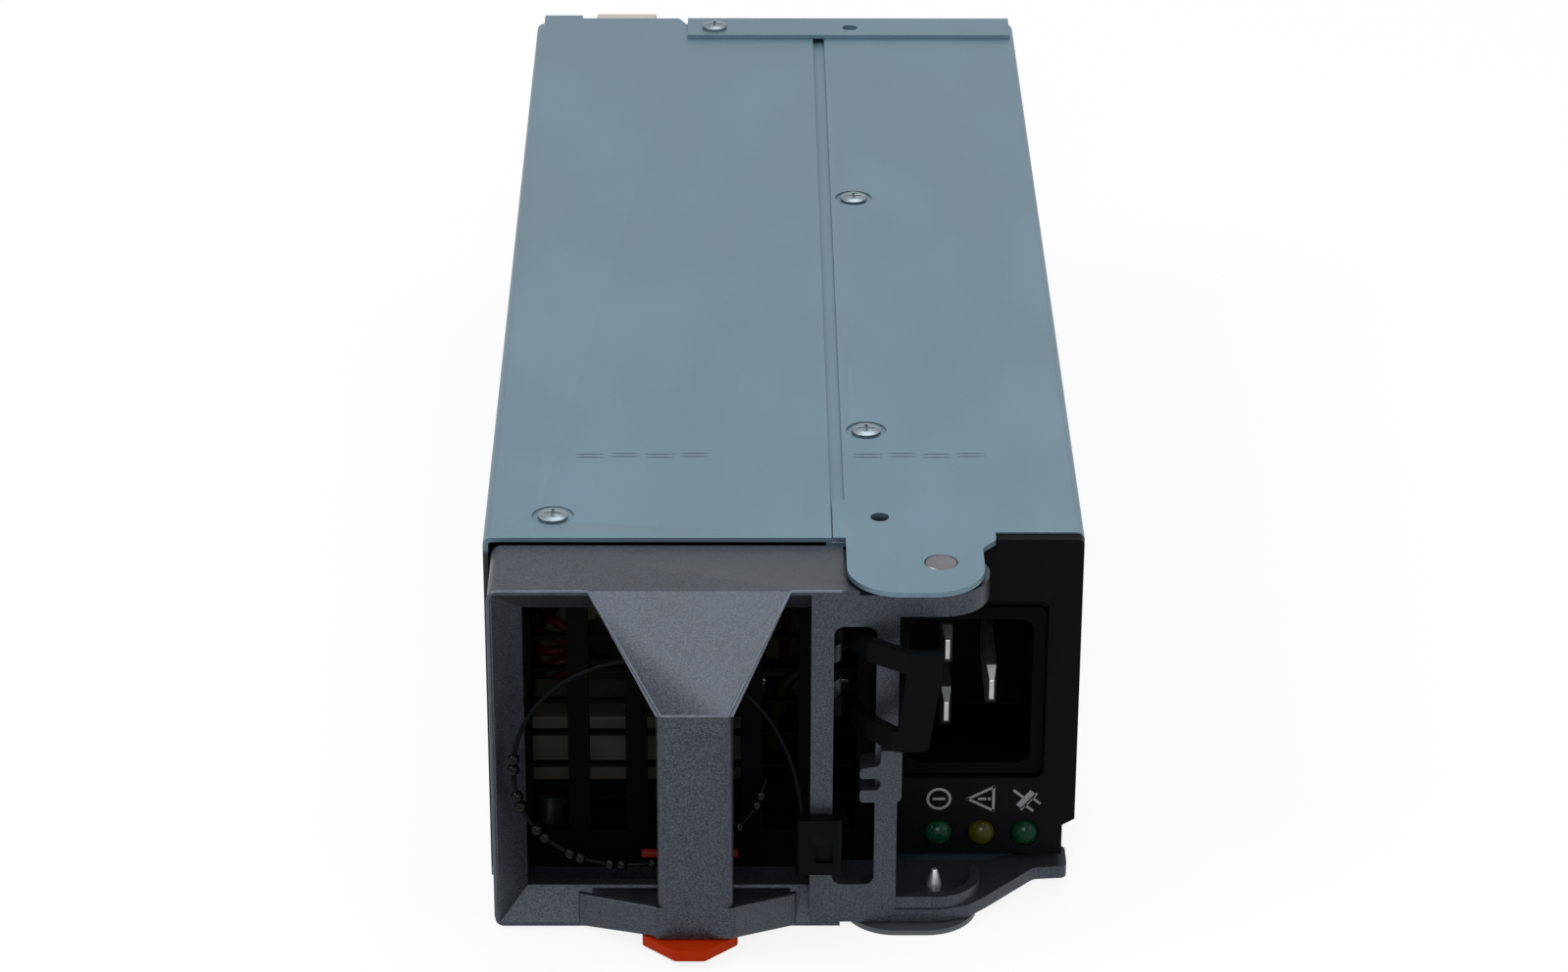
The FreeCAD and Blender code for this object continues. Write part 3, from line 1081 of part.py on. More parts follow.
def piece(label, items, joined=False):
    """Part objects gathered under one label: fused where they touch, else side by side."""
    item = doc.addObject("Part::MultiFuse" if joined else "Part::Compound", label)
    if joined:
        item.Shapes = items
        item.Refine = True
    else:
        item.Links = items
    return keep(item, label)


def on_board(label, name="Box"):
    """The plain box of a row in BOXES."""
    return block(name, f"{label}_left", f"{label}_front", DECK, f"{label}_width", f"{label}_depth",
                 f"{label}_height")


def make_boards():
    """Main board on its standoffs over the insulating film, with the screws from below."""
    long = "board_rear - board_front"
    piece("main_board", [block("Board", "-board_edge", "board_front", "board_up",
                               "board_edge * 2", long, "board")])
    posts, screws = [], []
    film = block("Film", f"-{INSIDE} + 2", "board_front + 6", "sheet",
                 f"2 * {INSIDE} - 4", f"{long} - 6", "film")
    for across in ("-board_edge + post_inset", "board_edge - post_inset"):
        for along in ("board_front + post_inset", "board_rear - post_inset"):
            post = rod("Post", across, along, "sheet", "post_radius", "board_up - sheet")
            bore = rod("Bore", across, along, "sheet - 1", "screw_radius", "board_up")
            posts.append(minus("BoredPost", post, bore))
            cutter = rod("Cutter", across, along, "0", "post_radius + fit", "board_up")
            film = minus("FilmHole", film, cutter)
            shank = rod("Shank", across, along, "0", "screw_radius", "screw_length")
            screws.append(shank)
    piece("board_standoffs", posts)
    piece("base_screws", screws)
    piece("insulating_film", [film])
    control = on_board("control_board")
    chips = [block("Chip", "control_board_left - 1.4",
                   f"control_board_front + control_board_depth * {0.14 + 0.23 * k:.2f}", f"{DECK} + 14",
                   "1.4", "7", "7") for k in range(4)]
    piece("control_board", [control])
    piece("control_chips", chips)
    piece("lamp_board", [block("LampBoard", "lamp_first - 4.4",
                               "bezel_plate - bezel_proud + 0.8 + lamp_lead", "lamp_up - 3.3",
                               "lamp_pitch * 2 + 8.8", "board", "6.4")])


def toroid(across, along, up, outer, inner, long, axis, start=0, angle=360):
    """A ring or a sector of one, along Z or Y."""
    ring_body = rod("Ring", across, along, up, outer, long, axis)
    if angle < 360:
        ring_body.Angle = angle
        turn = FreeCAD.Rotation(V(0, 0, 1), start)
        ring_body.Placement.Rotation = ring_body.Placement.Rotation.multiply(turn)
    bore = rod("Bore", across, f"{along} - 1" if axis == "Y" else along, up if axis == "Y" else f"{up} - 1",
               inner, f"{long} + 2", axis)
    return minus("Toroid", ring_body, bore)


def make_wound_parts():
    """Filter choke on edge, boost inductor lying flat, transformer and output inductor."""
    up = f"({DECK} + choke_foot + choke_outer)"
    core = ("choke_across", "choke_along", up, "choke_outer", "choke_inner", "choke_deep", "Y")
    piece("choke_core", [toroid(*core)])
    windings = []
    for start in (125, -55):
        sector = toroid("choke_across", "choke_along - wire_build", up, "choke_outer + wire_build",
                        "choke_inner - wire_build", "choke_deep + wire_build * 2", "Y", start, 110)
        windings.append(minus("ChokeWinding", sector, toroid(*core)))
    piece("choke_windings", windings)
    piece("choke_base", [block("Base", "choke_across - choke_outer", "choke_along - 1", DECK,
                               "choke_outer * 2", "choke_deep + 2", "choke_foot")])
    core = ("boost_across", "boost_along", f"{DECK} + wire_build",
            "boost_outer", "boost_inner", "boost_tall", "Z")
    piece("boost_core", [toroid(*core)])
    sector = toroid("boost_across", "boost_along", DECK, "boost_outer + wire_build",
                    "boost_inner - wire_build", "boost_tall + wire_build * 2", "Z", 20, 320)
    piece("boost_winding", [minus("BoostWinding", sector, toroid(*core))])
    for label, coil_label, wall in (("transformer", "transformer_coil", "5"),
                                    ("output_inductor", "inductor_coil", "4")):
        room = block("Window", f"{label}_left + {wall}", f"{label}_front - 1", f"{DECK} + {wall}",
                     f"{label}_width - 2 * {wall}", f"{label}_depth + 2", f"{label}_height - 2 * {wall}")
        leg = block("Leg", f"{label}_left + {label}_width / 2 - {wall}", f"{label}_front",
                    f"{DECK} + {wall} / 2", f"2 * {wall}", f"{label}_depth", f"{label}_height - {wall}")
        frame = minus("Frame", on_board(label), room)
        piece(f"{label}_core", [frame, leg], joined=True)
        wound = block("Wound", f"{label}_left + {wall} + fit", f"{label}_front - {wall}",
                      f"{DECK} + {wall} + fit", f"{label}_width - 2 * {wall} - 2 * fit",
                      f"{label}_depth + 2 * {wall}", f"{label}_height - 2 * {wall} - 2 * fit")
        bore = block("CoilBore", f"{label}_left + {label}_width / 2 - {wall} - fit", f"{label}_front - fit",
                     f"{DECK}", f"2 * {wall} + 2 * fit", f"{label}_depth + 2 * fit", f"{label}_height")
        piece(coil_label, [minus("Coil", wound, bore)])


def finned(label, side):
    """A heatsink: a base plate with upright fins on one side of it."""
    plate = "3"
    base_left = f"{label}_left + {label}_width - {plate}" if side < 0 else f"{label}_left"
    items = [block("Plate", base_left, f"{label}_front", DECK, plate, f"{label}_depth", f"{label}_height")]
    count = int(number(f"({label}_depth - fin) / fin_pitch")) + 1
    for k in range(count):
        items.append(block("Fin", f"{label}_left", f"{label}_front + fin_pitch * {k}", f"{DECK} + 4",
                           f"{label}_width", "fin", f"{label}_height - 4"))
    piece(label, items, joined=True)


def make_power_parts():
    """Box capacitor, fuse, rectifier, transistors, heatsinks, cans and busbars."""
    piece("filter_capacitor", [on_board("filter_capacitor")])
    piece("bridge_rectifier", [on_board("bridge_rectifier")])
    for label in ("rectifier_heatsink", "primary_heatsink"):
        finned(label, -1)
    finned("secondary_heatsink", 1)
    piece("power_transistors", [
        block("Transistor", "power_transistors_left",
              f"power_transistors_front + {k} * primary_heatsink_depth * 0.31", DECK,
              "power_transistors_width", "power_transistors_depth", "power_transistors_height")
        for k in range(3)])
    piece("output_rectifiers", [
        block("Rectifier", "secondary_heatsink_left - power_transistors_width",
              f"secondary_heatsink_front + {k} * secondary_heatsink_depth * 0.31 + 2", DECK,
              "power_transistors_width", "power_transistors_depth", "power_transistors_height")
        for k in range(3)])
    piece("bulk_capacitors", [rod("Bulk", "bulk_across", f"bulk_first + bulk_pitch * {k}", DECK,
                                  "bulk_radius", "bulk_tall") for k in range(3)])
    piece("output_capacitors", [rod("Can", f"can_across + can_pitch * {i}", f"can_along + can_pitch * {k}",
                                    DECK, "can_radius", "can_tall") for i in range(2) for k in range(3)])
    height = f"{DECK} + fuse_radius + 2"
    piece("input_fuse", [rod("Fuse", "fuse_across", "fuse_along", height, "fuse_radius",
                             "fuse_long", "X")])
    clips = []
    for end in ("fuse_across + 1", "fuse_across + fuse_long - 5"):
        clip = block("Clip", end, "fuse_along - fuse_radius - 0.8", DECK, "4", "fuse_radius * 2 + 1.6",
                     "fuse_radius + 4")
        seat = rod("Seat", "fuse_across - 1", "fuse_along", height, "fuse_radius", "fuse_long + 2", "X")
        clips.append(minus("ClipSeat", clip, seat))
    piece("fuse_clips", clips)
    piece("busbars", [block("Bar", f"busbars_left + {k} * (busbars_width - 2)", "busbars_front", DECK,
                            "2", "busbars_depth", "busbars_height") for k in range(2)])


# ---------------------------------------------------------------- rear: connector and fan

PLUG_END = "(case_length + sheet + plug_reach)"


def make_output_connector():
    """Output connector: a tall block with power mouths and a signal mouth, open to the rear."""
    body = new_body("output_connector")
    right = "plug_left + plug_width"
    slab(body, "Block", "YZ_Plane", "plug_left", [
        ("case_length - plug_inside", "plug_foot"), (f"{PLUG_END} - 3", "plug_foot"),
        (PLUG_END, "plug_foot + 3"), (PLUG_END, "plug_top - 3"), (f"{PLUG_END} - 5", "plug_top"),
        ("case_length - plug_inside", "plug_top"),
    ], "plug_width")
    mouth = "(plug_top - plug_foot - 8) / 5"
    first = hollow(body, "Mouth", "XZ_Plane", f"{PLUG_END} - contact_deep",
                   corners_of("plug_left + 2", f"{right} - 2",
                              "plug_foot + 4", f"plug_foot + 4 + {mouth} - 2"), "contact_deep + 1")
    repeat(body, [first], "Z_Axis", mouth, 5)
    return keep(body, "output_connector")


def make_contacts():
    """Contacts of the connector, two blades in each mouth."""
    mouth = "(plug_top - plug_foot - 8) / 5"
    blades = []
    for k in range(5):
        for across in ("plug_left + 3.2", "plug_left + plug_width - 3.2 - contact_thick"):
            blades.append(block("Contact", across, f"{PLUG_END} - contact_deep",
                                f"plug_foot + 4.6 + {mouth} * {k}", "contact_thick",
                                "contact_deep - 3", f"{mouth} - 3.2"))
    piece("output_contacts", blades)


FAN_REAR = "(case_length - fit)"
FAN_FRONT = f"({FAN_REAR} - fan_depth)"
ROTOR_DEPTH = 18.0
BLADES = 7


def make_fan_frame():
    """Square fan housing with round bore, rear struts and the bearing tube."""
    body = new_body("fan_frame")
    half = "fan_size / 2"
    left, right = f"fan_across - {half}", f"fan_across + {half}"
    slab(body, "Square", "XZ_Plane", FAN_FRONT,
         corners_of(left, right, f"fan_up - {half}", f"fan_up + {half}", "4"), "fan_depth")
    hole(body, "Duct", "XZ_Plane", f"{FAN_FRONT} - 1", "fan_across", "fan_up", "fan_bore", "fan_depth + 2")
    waist = "fan_depth - 8"
    for side in (-1, 1):
        for turn in (0, 1):
            far = f"{side} * ({half} + 1)"
            near = f"{side} * (fan_bore + 0.9)"
            spread = "fan_holes / 2 - 5"
            corners = [(near, f"-({spread})"), (far, f"-({spread})"), (far, spread), (near, spread)]
            if turn:
                corners = [(up, across) for across, up in corners]
            hollow(body, "Waist", "XZ_Plane", f"{FAN_FRONT} + 4",
                   [(f"fan_across + {a}", f"fan_up + {b}") for a, b in corners], waist)
    strut = "3"
    for a, b in (("fan_bore + 0.6", "1.6"), ("1.6", "fan_bore + 0.6")):
        slab(body, "Strut", "XZ_Plane", f"{FAN_REAR} - {strut}",
             corners_of(f"fan_across - ({a})", f"fan_across + {a}",
                        f"fan_up - ({b})", f"fan_up + {b}"), strut)
    boss(body, "Base", "XZ_Plane", f"{FAN_REAR} - {strut}", "fan_across", "fan_up", "fan_hub", strut)
    boss(body, "BearingTube", "XZ_Plane", f"{FAN_REAR} - 18", "fan_across", "fan_up", "3.6", "16")
    hole(body, "Bearing", "XZ_Plane", f"{FAN_REAR} - 19", "fan_across", "fan_up", "1.5 + running", "17")
    for a in ("-fan_holes / 2", "fan_holes / 2"):
        for b in ("-fan_holes / 2", "fan_holes / 2"):
            hole(body, "Mount", "XZ_Plane", f"{FAN_FRONT} - 1", f"fan_across + {a}", f"fan_up + {b}",
                 "screw_radius", "fan_depth + 2")
    return keep(body, "fan_frame")


def make_fan_rotor():
    """Impeller: cup with its shaft, and lofted blades repeated round it."""
    body = new_body("fan_rotor")
    boss(body, "Cup", "XZ_Plane", "0", "0", "0", "fan_hub", str(ROTOR_DEPTH))
    hole(body, "CupRoom", "XZ_Plane", "1.6", "0", "0", "fan_hub - 1.4", f"{ROTOR_DEPTH}")
    boss(body, "Shaft", "XZ_Plane", "1", "0", "0", "1.5", f"{ROTOR_DEPTH} - 1")
    root = sketch_on(body, "BladeRoot", "YZ_Plane", "fan_hub - 0.8")
    outline(root, [("0.6", "4.6"), ("1.4", "5.6"), ("16.4", "-4.6"), ("15.6", "-5.6")])
    tip = sketch_on(body, "BladeTip", "YZ_Plane", "fan_bore")
    outline(tip, [("2.6", "10.4"), ("3.4", "11.2"), ("15.4", "-5.2"), ("14.6", "-6.2")])
    blade = loft(body, root, tip)
    around = body.newObject("PartDesign::PolarPattern", "Blades")
    around.Originals = [blade]
    around.Axis = (origin_feature(body, "Y_Axis"), [""])
    around.Angle = 360
    around.Occurrences = BLADES
    body.Tip = around
    trim = sketch_on(body, "TipTrim", "XZ_Plane", "-1")
    ring(trim, "0", "0", "fan_bore + 6")
    ring(trim, "0", "0", "fan_bore - blade_gap")
    cut(body, trim, "XZ_Plane", f"{ROTOR_DEPTH} + 2")
    keep(body, "fan_rotor", placed=False)
    bind(body, "Placement.Base.x", "fan_across")
    bind(body, "Placement.Base.y", f"{MIDDLE} + {FAN_FRONT} + 2.5")
    bind(body, "Placement.Base.z", "fan_up")


def make_fan_parts():
    """Motor coils, wire guard and the screws through the rear panel."""
    coil = toroid("fan_across", f"{FAN_REAR} - 14", "fan_up", "fan_hub - 2.6", "3.6", "10.8", "Y")
    piece("fan_stator", [coil])
    behind = number("case_length + sheet")
    wire, along = 0.7, V(0, 1, 0)
    centre = V(number("fan_across"), behind + wire, number("fan_up"))
    half = number("fan_holes") / 2
    cross = []
    for turn in (45, -45):
        spoke = Part.makeCylinder(wire, half * math.sqrt(8), V(-half * math.sqrt(2), 0, 0), V(1, 0, 0))
        spoke.rotate(V(0, 0, 0), V(0, 1, 0), turn)
        cross.append(spoke.translated(centre))
    guard, screws = cross[0].fuse(cross[1]), []
    for across in (-half, half):
        for up in (-half, half):
            spot = V(number("fan_across") + across, behind, number("fan_up") + up)
            bore = Part.makeCylinder(number("screw_radius + fit"), wire * 4, spot - along, along)
            guard = guard.fuse(Part.makeCylinder(number("screw_head") + 0.6, wire * 2, spot, along))
            guard = guard.cut(bore)
            screw = pan_screw(number("screw_length") + wire * 2)
            screw.rotate(V(0, 0, 0), V(1, 0, 0), -90)
            screws.append(screw.translated(spot + along * wire * 2))
    rings = []
    for share in (0.36, 0.62, 0.88):
        middle = number("fan_bore") * share
        ends = [math.pi * k / 3 for k in range(6)]
        hoop = turned([(middle + wire * math.cos(end), wire * math.sin(end)) for end in ends])
        hoop.rotate(V(0, 0, 0), V(1, 0, 0), -90)
        rings.append(hoop.translated(centre + along * wire * (1 + math.sqrt(0.75))))
    group("fan_guard", guard.Solids + rings)
    group("fan_screws", screws)


def make_inlet_leads():
    """Line and neutral leads to the board and the earth lead to its screw on the chassis."""
    tail = number("inlet_sunk - bezel_proud + inlet_rim_depth + socket_depth + 2.5 + blade_tail")
    deck, radius = number(DECK), number("lead_radius")
    across, up = number("inlet_across"), number("inlet_up")
    beside, half = number("earth_offset") / 2, number("blade_spacing") / 2
    for label, height, reach in (("line_lead", up + half, 8), ("neutral_lead", up - half, 4)):
        points = [V(across - beside, tail, height), V(across - beside, tail + reach, height),
                  V(across - beside, tail + reach, deck)]
        group(label, [tube(points, radius)])
    points = [V(across + beside, tail, up), V(across + beside, tail + 5, up), V(24, tail + 4, 33),
              V(12, tail - 2, 31), V(1, tail - 2, 24), V(-1.5, tail - 2, 16), V(-1.5, tail - 2, deck)]
    group("earth_lead", [tube(points, radius)])


for make in (make_chassis, make_cover, make_rear_panel, make_screws, make_pivots, make_vent, make_bezel,
             make_inlet, make_handle, make_latch, make_clip, make_tie_head, make_strand, make_latch_spring,
             make_boards, make_wound_parts, make_power_parts, make_output_connector, make_contacts,
             make_fan_frame, make_fan_rotor, make_fan_parts, make_inlet_leads):
    make()
inlet_blade("line_blade", "-1", "blade_spacing / 2", "line_sunk")
inlet_blade("neutral_blade", "-1", "-blade_spacing / 2", "line_sunk")
inlet_blade("earth_blade", "1", "0", "earth_sunk")
for place, label in enumerate(("lamp_output", "lamp_fault", "lamp_input")):
    lamp(label, place)

# ---------------------------------------------------------------- build, test and write

doc.recompute()
faults = [item.Name for item in doc.Objects if {"Invalid", "Error"} & set(item.State)]
for item in PARTS:
    if item.Shape.isNull() or not item.Shape.isValid():
        faults.append(item.Label)
if faults:
    raise RuntimeError("faulty objects: " + ", ".join(faults))
os.makedirs("parts", exist_ok=True)
for item in PARTS:
    item.Shape.exportStep(f"parts/{item.Label}.step")
    print(item.Label, len(item.Shape.Solids), "solid(s)", round(item.Shape.Volume, 1), "mm3")
print(len(PARTS), "parts")
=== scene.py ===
# %% [markdown]
# # Hot swap server power supply
# A plug-in power unit: a folded steel case, a die-cast ejector handle, moulded black front parts and
# the works behind them.  The solids come from CAD, at their real size, and arrive here as the frame.
# This lesson dresses them.  Edges are eased, each finish is a small node tree, and the pieces that
# only matter to the eye, such as beads, wire turns and symbols, are modelled on top.

# %% Load the frame
import json
import math

import bmesh
import bpy
from mathutils import Matrix, Vector

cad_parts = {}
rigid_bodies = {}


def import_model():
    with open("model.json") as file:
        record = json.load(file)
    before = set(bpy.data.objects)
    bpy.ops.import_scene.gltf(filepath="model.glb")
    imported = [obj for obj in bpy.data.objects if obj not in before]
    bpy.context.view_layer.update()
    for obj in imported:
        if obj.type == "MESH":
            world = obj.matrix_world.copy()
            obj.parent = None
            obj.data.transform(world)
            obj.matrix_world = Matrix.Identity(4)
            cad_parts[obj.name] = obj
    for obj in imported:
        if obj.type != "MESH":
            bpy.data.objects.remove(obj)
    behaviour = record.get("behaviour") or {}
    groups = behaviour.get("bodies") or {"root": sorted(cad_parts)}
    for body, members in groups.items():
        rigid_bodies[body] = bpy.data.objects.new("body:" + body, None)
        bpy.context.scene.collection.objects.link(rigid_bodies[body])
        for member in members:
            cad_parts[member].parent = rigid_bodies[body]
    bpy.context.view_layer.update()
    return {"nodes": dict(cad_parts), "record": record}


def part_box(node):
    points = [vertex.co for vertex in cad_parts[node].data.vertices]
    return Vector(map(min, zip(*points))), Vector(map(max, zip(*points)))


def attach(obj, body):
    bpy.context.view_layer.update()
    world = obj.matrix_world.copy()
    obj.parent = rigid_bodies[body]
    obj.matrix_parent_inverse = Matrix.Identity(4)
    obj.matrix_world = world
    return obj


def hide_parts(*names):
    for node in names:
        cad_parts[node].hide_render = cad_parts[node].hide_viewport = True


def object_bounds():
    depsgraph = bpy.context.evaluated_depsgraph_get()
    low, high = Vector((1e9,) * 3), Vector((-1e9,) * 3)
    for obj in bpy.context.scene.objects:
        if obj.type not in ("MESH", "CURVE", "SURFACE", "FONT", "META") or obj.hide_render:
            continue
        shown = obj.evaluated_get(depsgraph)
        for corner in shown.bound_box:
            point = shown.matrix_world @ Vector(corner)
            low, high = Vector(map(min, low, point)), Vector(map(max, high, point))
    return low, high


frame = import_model()
MM = 0.001

# %% [markdown]
# The part was drawn in a case frame whose Y starts at the front edge of the sheet metal.  The record's
# frame starts at the middle of the footprint.  One number links the two, and it is read from the left
# cover, whose front edge is that zero.

# %% Places in the case frame
CASE_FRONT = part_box("left_cover")[0][1]
CASE_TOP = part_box("chassis")[1][2]


def at(across, along, up):
    """A point given in case millimetres, as a vector in the frame's metres."""
    return Vector((across * MM, along * MM + CASE_FRONT, up * MM))


print("front edge of the case at", round(CASE_FRONT, 4))

# %% [markdown]
# ## Camera
# The view is from above the front, slightly left of the middle, with a long lens, so the case narrows
# only a little toward the rear.  A Track To constraint could aim the camera at the part, but it always
# levels the horizon.  Three plain angles keep the slight tilt of a hand-set tripod.

# %% Camera
EYE = at(-7.898, -741.32, 454.52)
PITCH, YAW, ROLL = math.radians(26.748), math.radians(0.603), math.radians(-0.283)
LENS, SENSOR, FAR = 107.146, 36, 20


def aim():
    """The camera's turn: forward from pitch and yaw, then the roll about it."""
    forward = Vector((math.sin(YAW) * math.cos(PITCH), math.cos(YAW) * math.cos(PITCH), -math.sin(PITCH)))
    right = Vector((math.cos(YAW), -math.sin(YAW), 0))
    upward = right.cross(forward)
    rolled = Matrix.Rotation(ROLL, 3, forward)
    right, upward = rolled @ right, rolled @ upward
    return Matrix((right, upward, -forward)).transposed()


camera = bpy.data.objects.new("camera", bpy.data.cameras.new("camera"))
camera.data.lens = LENS
camera.data.sensor_width = SENSOR
camera.data.clip_end = FAR
camera.matrix_world = Matrix.Translation(EYE) @ aim().to_4x4()
bpy.context.scene.collection.objects.link(camera)
bpy.context.scene.camera = camera
print("camera lens", LENS, "mm")

# %% [markdown]
# ## Node trees as plain arithmetic
# A finish is a tree of shader nodes.  It could be wired up by hand in the editor, but a script with one
# line for each node and each link is hard to read.  Here a small class stands for an output socket, so
# that ordinary sums add the Math nodes, and another holds the material while it is put together.

# %% Colours


def linear(red, green, blue):
    """A colour given as screen values 0 to 255, in the linear values that shaders use."""
    def one(value):
        value /= 255
        return value / 12.92 if value <= 0.04045 else ((value + 0.055) / 1.055) ** 2.4
    return (one(red), one(green), one(blue), 1)


def shade(colour, share):
    """The same colour, lighter or darker."""
    return tuple(min(1.0, value * share) for value in colour[:3]) + (1,)


print("middle grey is", round(linear(128, 128, 128)[0], 3), "in a shader")


# %% Wires
class Wire:
    """One output socket; + - * and a few functions add Math nodes behind it."""

    def __init__(self, paint, socket):
        self.paint, self.socket = paint, socket

    def maths(self, operation, *others):
        return self.paint.add("ShaderNodeMath", (self, *others), operation=operation)

    def __add__(self, other):
        return self.maths("ADD", other)

    def __sub__(self, other):
        return self.maths("SUBTRACT", other)

    def __rsub__(self, other):
        return self.paint.add("ShaderNodeMath", (other, self), operation="SUBTRACT")

    def __mul__(self, other):
        return self.maths("MULTIPLY", other)

    __radd__, __rmul__ = __add__, __mul__

    def band(self, low, high):
        """0 below low, 1 above high, smooth between."""
        return self.paint.add("ShaderNodeMapRange", (self, low, high), interpolation_type="SMOOTHSTEP")


print("sums on wires:", [name for name in vars(Wire) if name in ("__add__", "__sub__", "__mul__")])


# %% Paint
class Paint:
    """A material under construction, with its Principled shader and object coordinates."""

    def __init__(self, name, base, metallic=0.0, roughness=0.5, **fixed):
        self.material = bpy.data.materials.new(name)
        self.material.use_nodes = True
        self.tree = self.material.node_tree
        self.shader = self.tree.nodes["Principled BSDF"]
        self.base = base
        self.set("Base Color", base)
        self.set("Metallic", metallic)
        self.set("Roughness", roughness)
        for words, value in fixed.items():
            self.set(words.replace("_", " ").title().replace("Ior", "IOR"), value)
        self.place = self.add("ShaderNodeTexCoord", (), output="Object")

    def plug(self, socket, value):
        if isinstance(value, Wire):
            self.tree.links.new(value.socket, socket)
        else:
            socket.default_value = value

    def add(self, kind, inputs, output=0, **settings):
        """Adds a node, sets it up, feeds its inputs in order and returns one output."""
        node = self.tree.nodes.new(kind)
        for name, value in settings.items():
            setattr(node, name, value)
        pairs = inputs.items() if isinstance(inputs, dict) else enumerate(inputs)
        for key, value in pairs:
            self.plug(node.inputs[key], value)
        return Wire(self, node.outputs[output])

    def set(self, name, value):
        self.plug(self.shader.inputs[name], value)

    def noise(self, size, detail=2.0, stretch=(1, 1, 1)):
        """Noise whose grains are about size millimetres across."""
        spot = self.add("ShaderNodeMapping", {"Vector": self.place, "Scale": stretch})
        return self.add("ShaderNodeTexNoise", {"Vector": spot, "Scale": 1 / (size * MM), "Detail": detail})

    def tint(self, factor, first, second):
        """The first colour where factor is 0, the second where it is 1."""
        return self.add("ShaderNodeMix", {0: factor, 6: first, 7: second}, output=2, data_type="RGBA")

    def bump(self, height, depth, strength=1.0):
        """Surface relief: height 0 to 1 stands for depth in millimetres."""
        self.set("Normal", self.add("ShaderNodeBump", {"Strength": strength, "Distance": depth * MM,
                                                      "Height": height}))


print("paint tools:", [name for name in vars(Paint) if not name.startswith("_")])

# %% [markdown]
# ## Studio
# A pale floor and four soft lamps.  Brighter lamps would make floor and backdrop white, but would bleach
# the part too.  So rays from the camera, and those that a shiny face or glass sends on, see the floor and
# the world as white, and all other rays see them at a plain level.

# %% Floor
FLOOR_PALE, FLOOR_WHITE = 0.82, 0.86
FLOOR_SIDE, FLOOR_NEAR, FLOOR_FAR, FLOOR_CURVE, FLOOR_TOP = 4.0, -3.0, 2.0, 1.2, 3.0
FLOOR_GAP = 0.0002


def pale(name, level, seen):
    """Pale floor or wall: part of what the camera sees is plain white, the rest takes the shadow."""
    paint = Paint(name, (level, level, level, 1), roughness=0.9)
    rays = paint.add("ShaderNodeLightPath", (), output="Is Camera Ray")
    shiny = paint.add("ShaderNodeLightPath", (), output="Is Glossy Ray")
    through = paint.add("ShaderNodeLightPath", (), output="Is Transmission Ray")
    white = paint.add("ShaderNodeEmission", {"Color": (1, 1, 1, 1), "Strength": 1.0})
    share = (rays + shiny + through).maths("MINIMUM", 1.0) * seen
    output = paint.tree.nodes["Material Output"]
    surface = Wire(paint, paint.shader.outputs[0])
    mixed = paint.add("ShaderNodeMixShader", (share, surface, white))
    paint.tree.links.new(mixed.socket, output.inputs["Surface"])
    return paint.material


def floor_sheet():
    """A floor that curves up far behind the object."""
    mesh = bmesh.new()
    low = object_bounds()[0][2] - FLOOR_GAP
    profile = [(FLOOR_NEAR, low), (FLOOR_FAR, low)]
    profile += [(FLOOR_FAR + FLOOR_CURVE * math.sin(t), low + FLOOR_CURVE * (1 - math.cos(t)))
                for t in (0.3, 0.6, 0.9, 1.2, 1.57)]
    profile += [(FLOOR_FAR + FLOOR_CURVE, low + FLOOR_TOP)]
    rows = [[mesh.verts.new((side, y, z)) for side in (-FLOOR_SIDE, FLOOR_SIDE)] for y, z in profile]
    for near, far in zip(rows, rows[1:]):
        mesh.faces.new((near[0], near[1], far[1], far[0]))
    data = bpy.data.meshes.new("floor")
    mesh.to_mesh(data)
    mesh.free()
    floor = bpy.data.objects.new("floor", data)
    floor.data.materials.append(pale("floor_pale", FLOOR_PALE, FLOOR_WHITE))
    bpy.context.scene.collection.objects.link(floor)


floor_sheet()
print("floor", FLOOR_GAP, "m under the part")

# %% [markdown]
# Four lamps light the part: a key from the upper left, a large one overhead, a weak fill from the right
# and one in front, for the grip and the vent.  Point lamps would be simpler, but each would leave a hard
# dot on every screw and dome.  Area lamps give broad, soft highlights.

# %% Lamps
# Each lamp has its place, the place that it is turned to, its size in metres and its power in watts.
LAMPS = {
    "key_lamp": ((-0.95, -0.3, 1.1), (0, -0.05, 0.03), (0.7, 0.7), 9.0),
    "top_lamp": ((0.25, 0.35, 1.5), (0, 0.05, 0.03), (1.3, 1.0), 12.0),
    "fill_lamp": ((0.9, -0.6, 0.55), (0, -0.1, 0.03), (0.6, 0.6), 2.0),
    "front_lamp": ((-0.08, -1.15, 0.66), (0, -0.12, 0.04), (0.55, 0.35), 4.6),
}


def lamp(name, spot, target, size, watts):
    light = bpy.data.lights.new(name, "AREA")
    light.shape = "RECTANGLE"
    light.size, light.size_y = size
    light.energy = watts
    item = bpy.data.objects.new(name, light)
    item.location = spot
    item.rotation_euler = (Vector(target) - Vector(spot)).to_track_quat("-Z", "Y").to_euler()
    bpy.context.scene.collection.objects.link(item)


for name, settings in LAMPS.items():
    lamp(name, *settings)
print("lamps:", len(LAMPS))

# %% [markdown]
# The world adds even light from all round.  An image of a real studio would give richer reflections, but
# a plain level is enough for painted and galvanised metal, and it needs no file.

# %% World
WORLD_LIGHT = 0.42


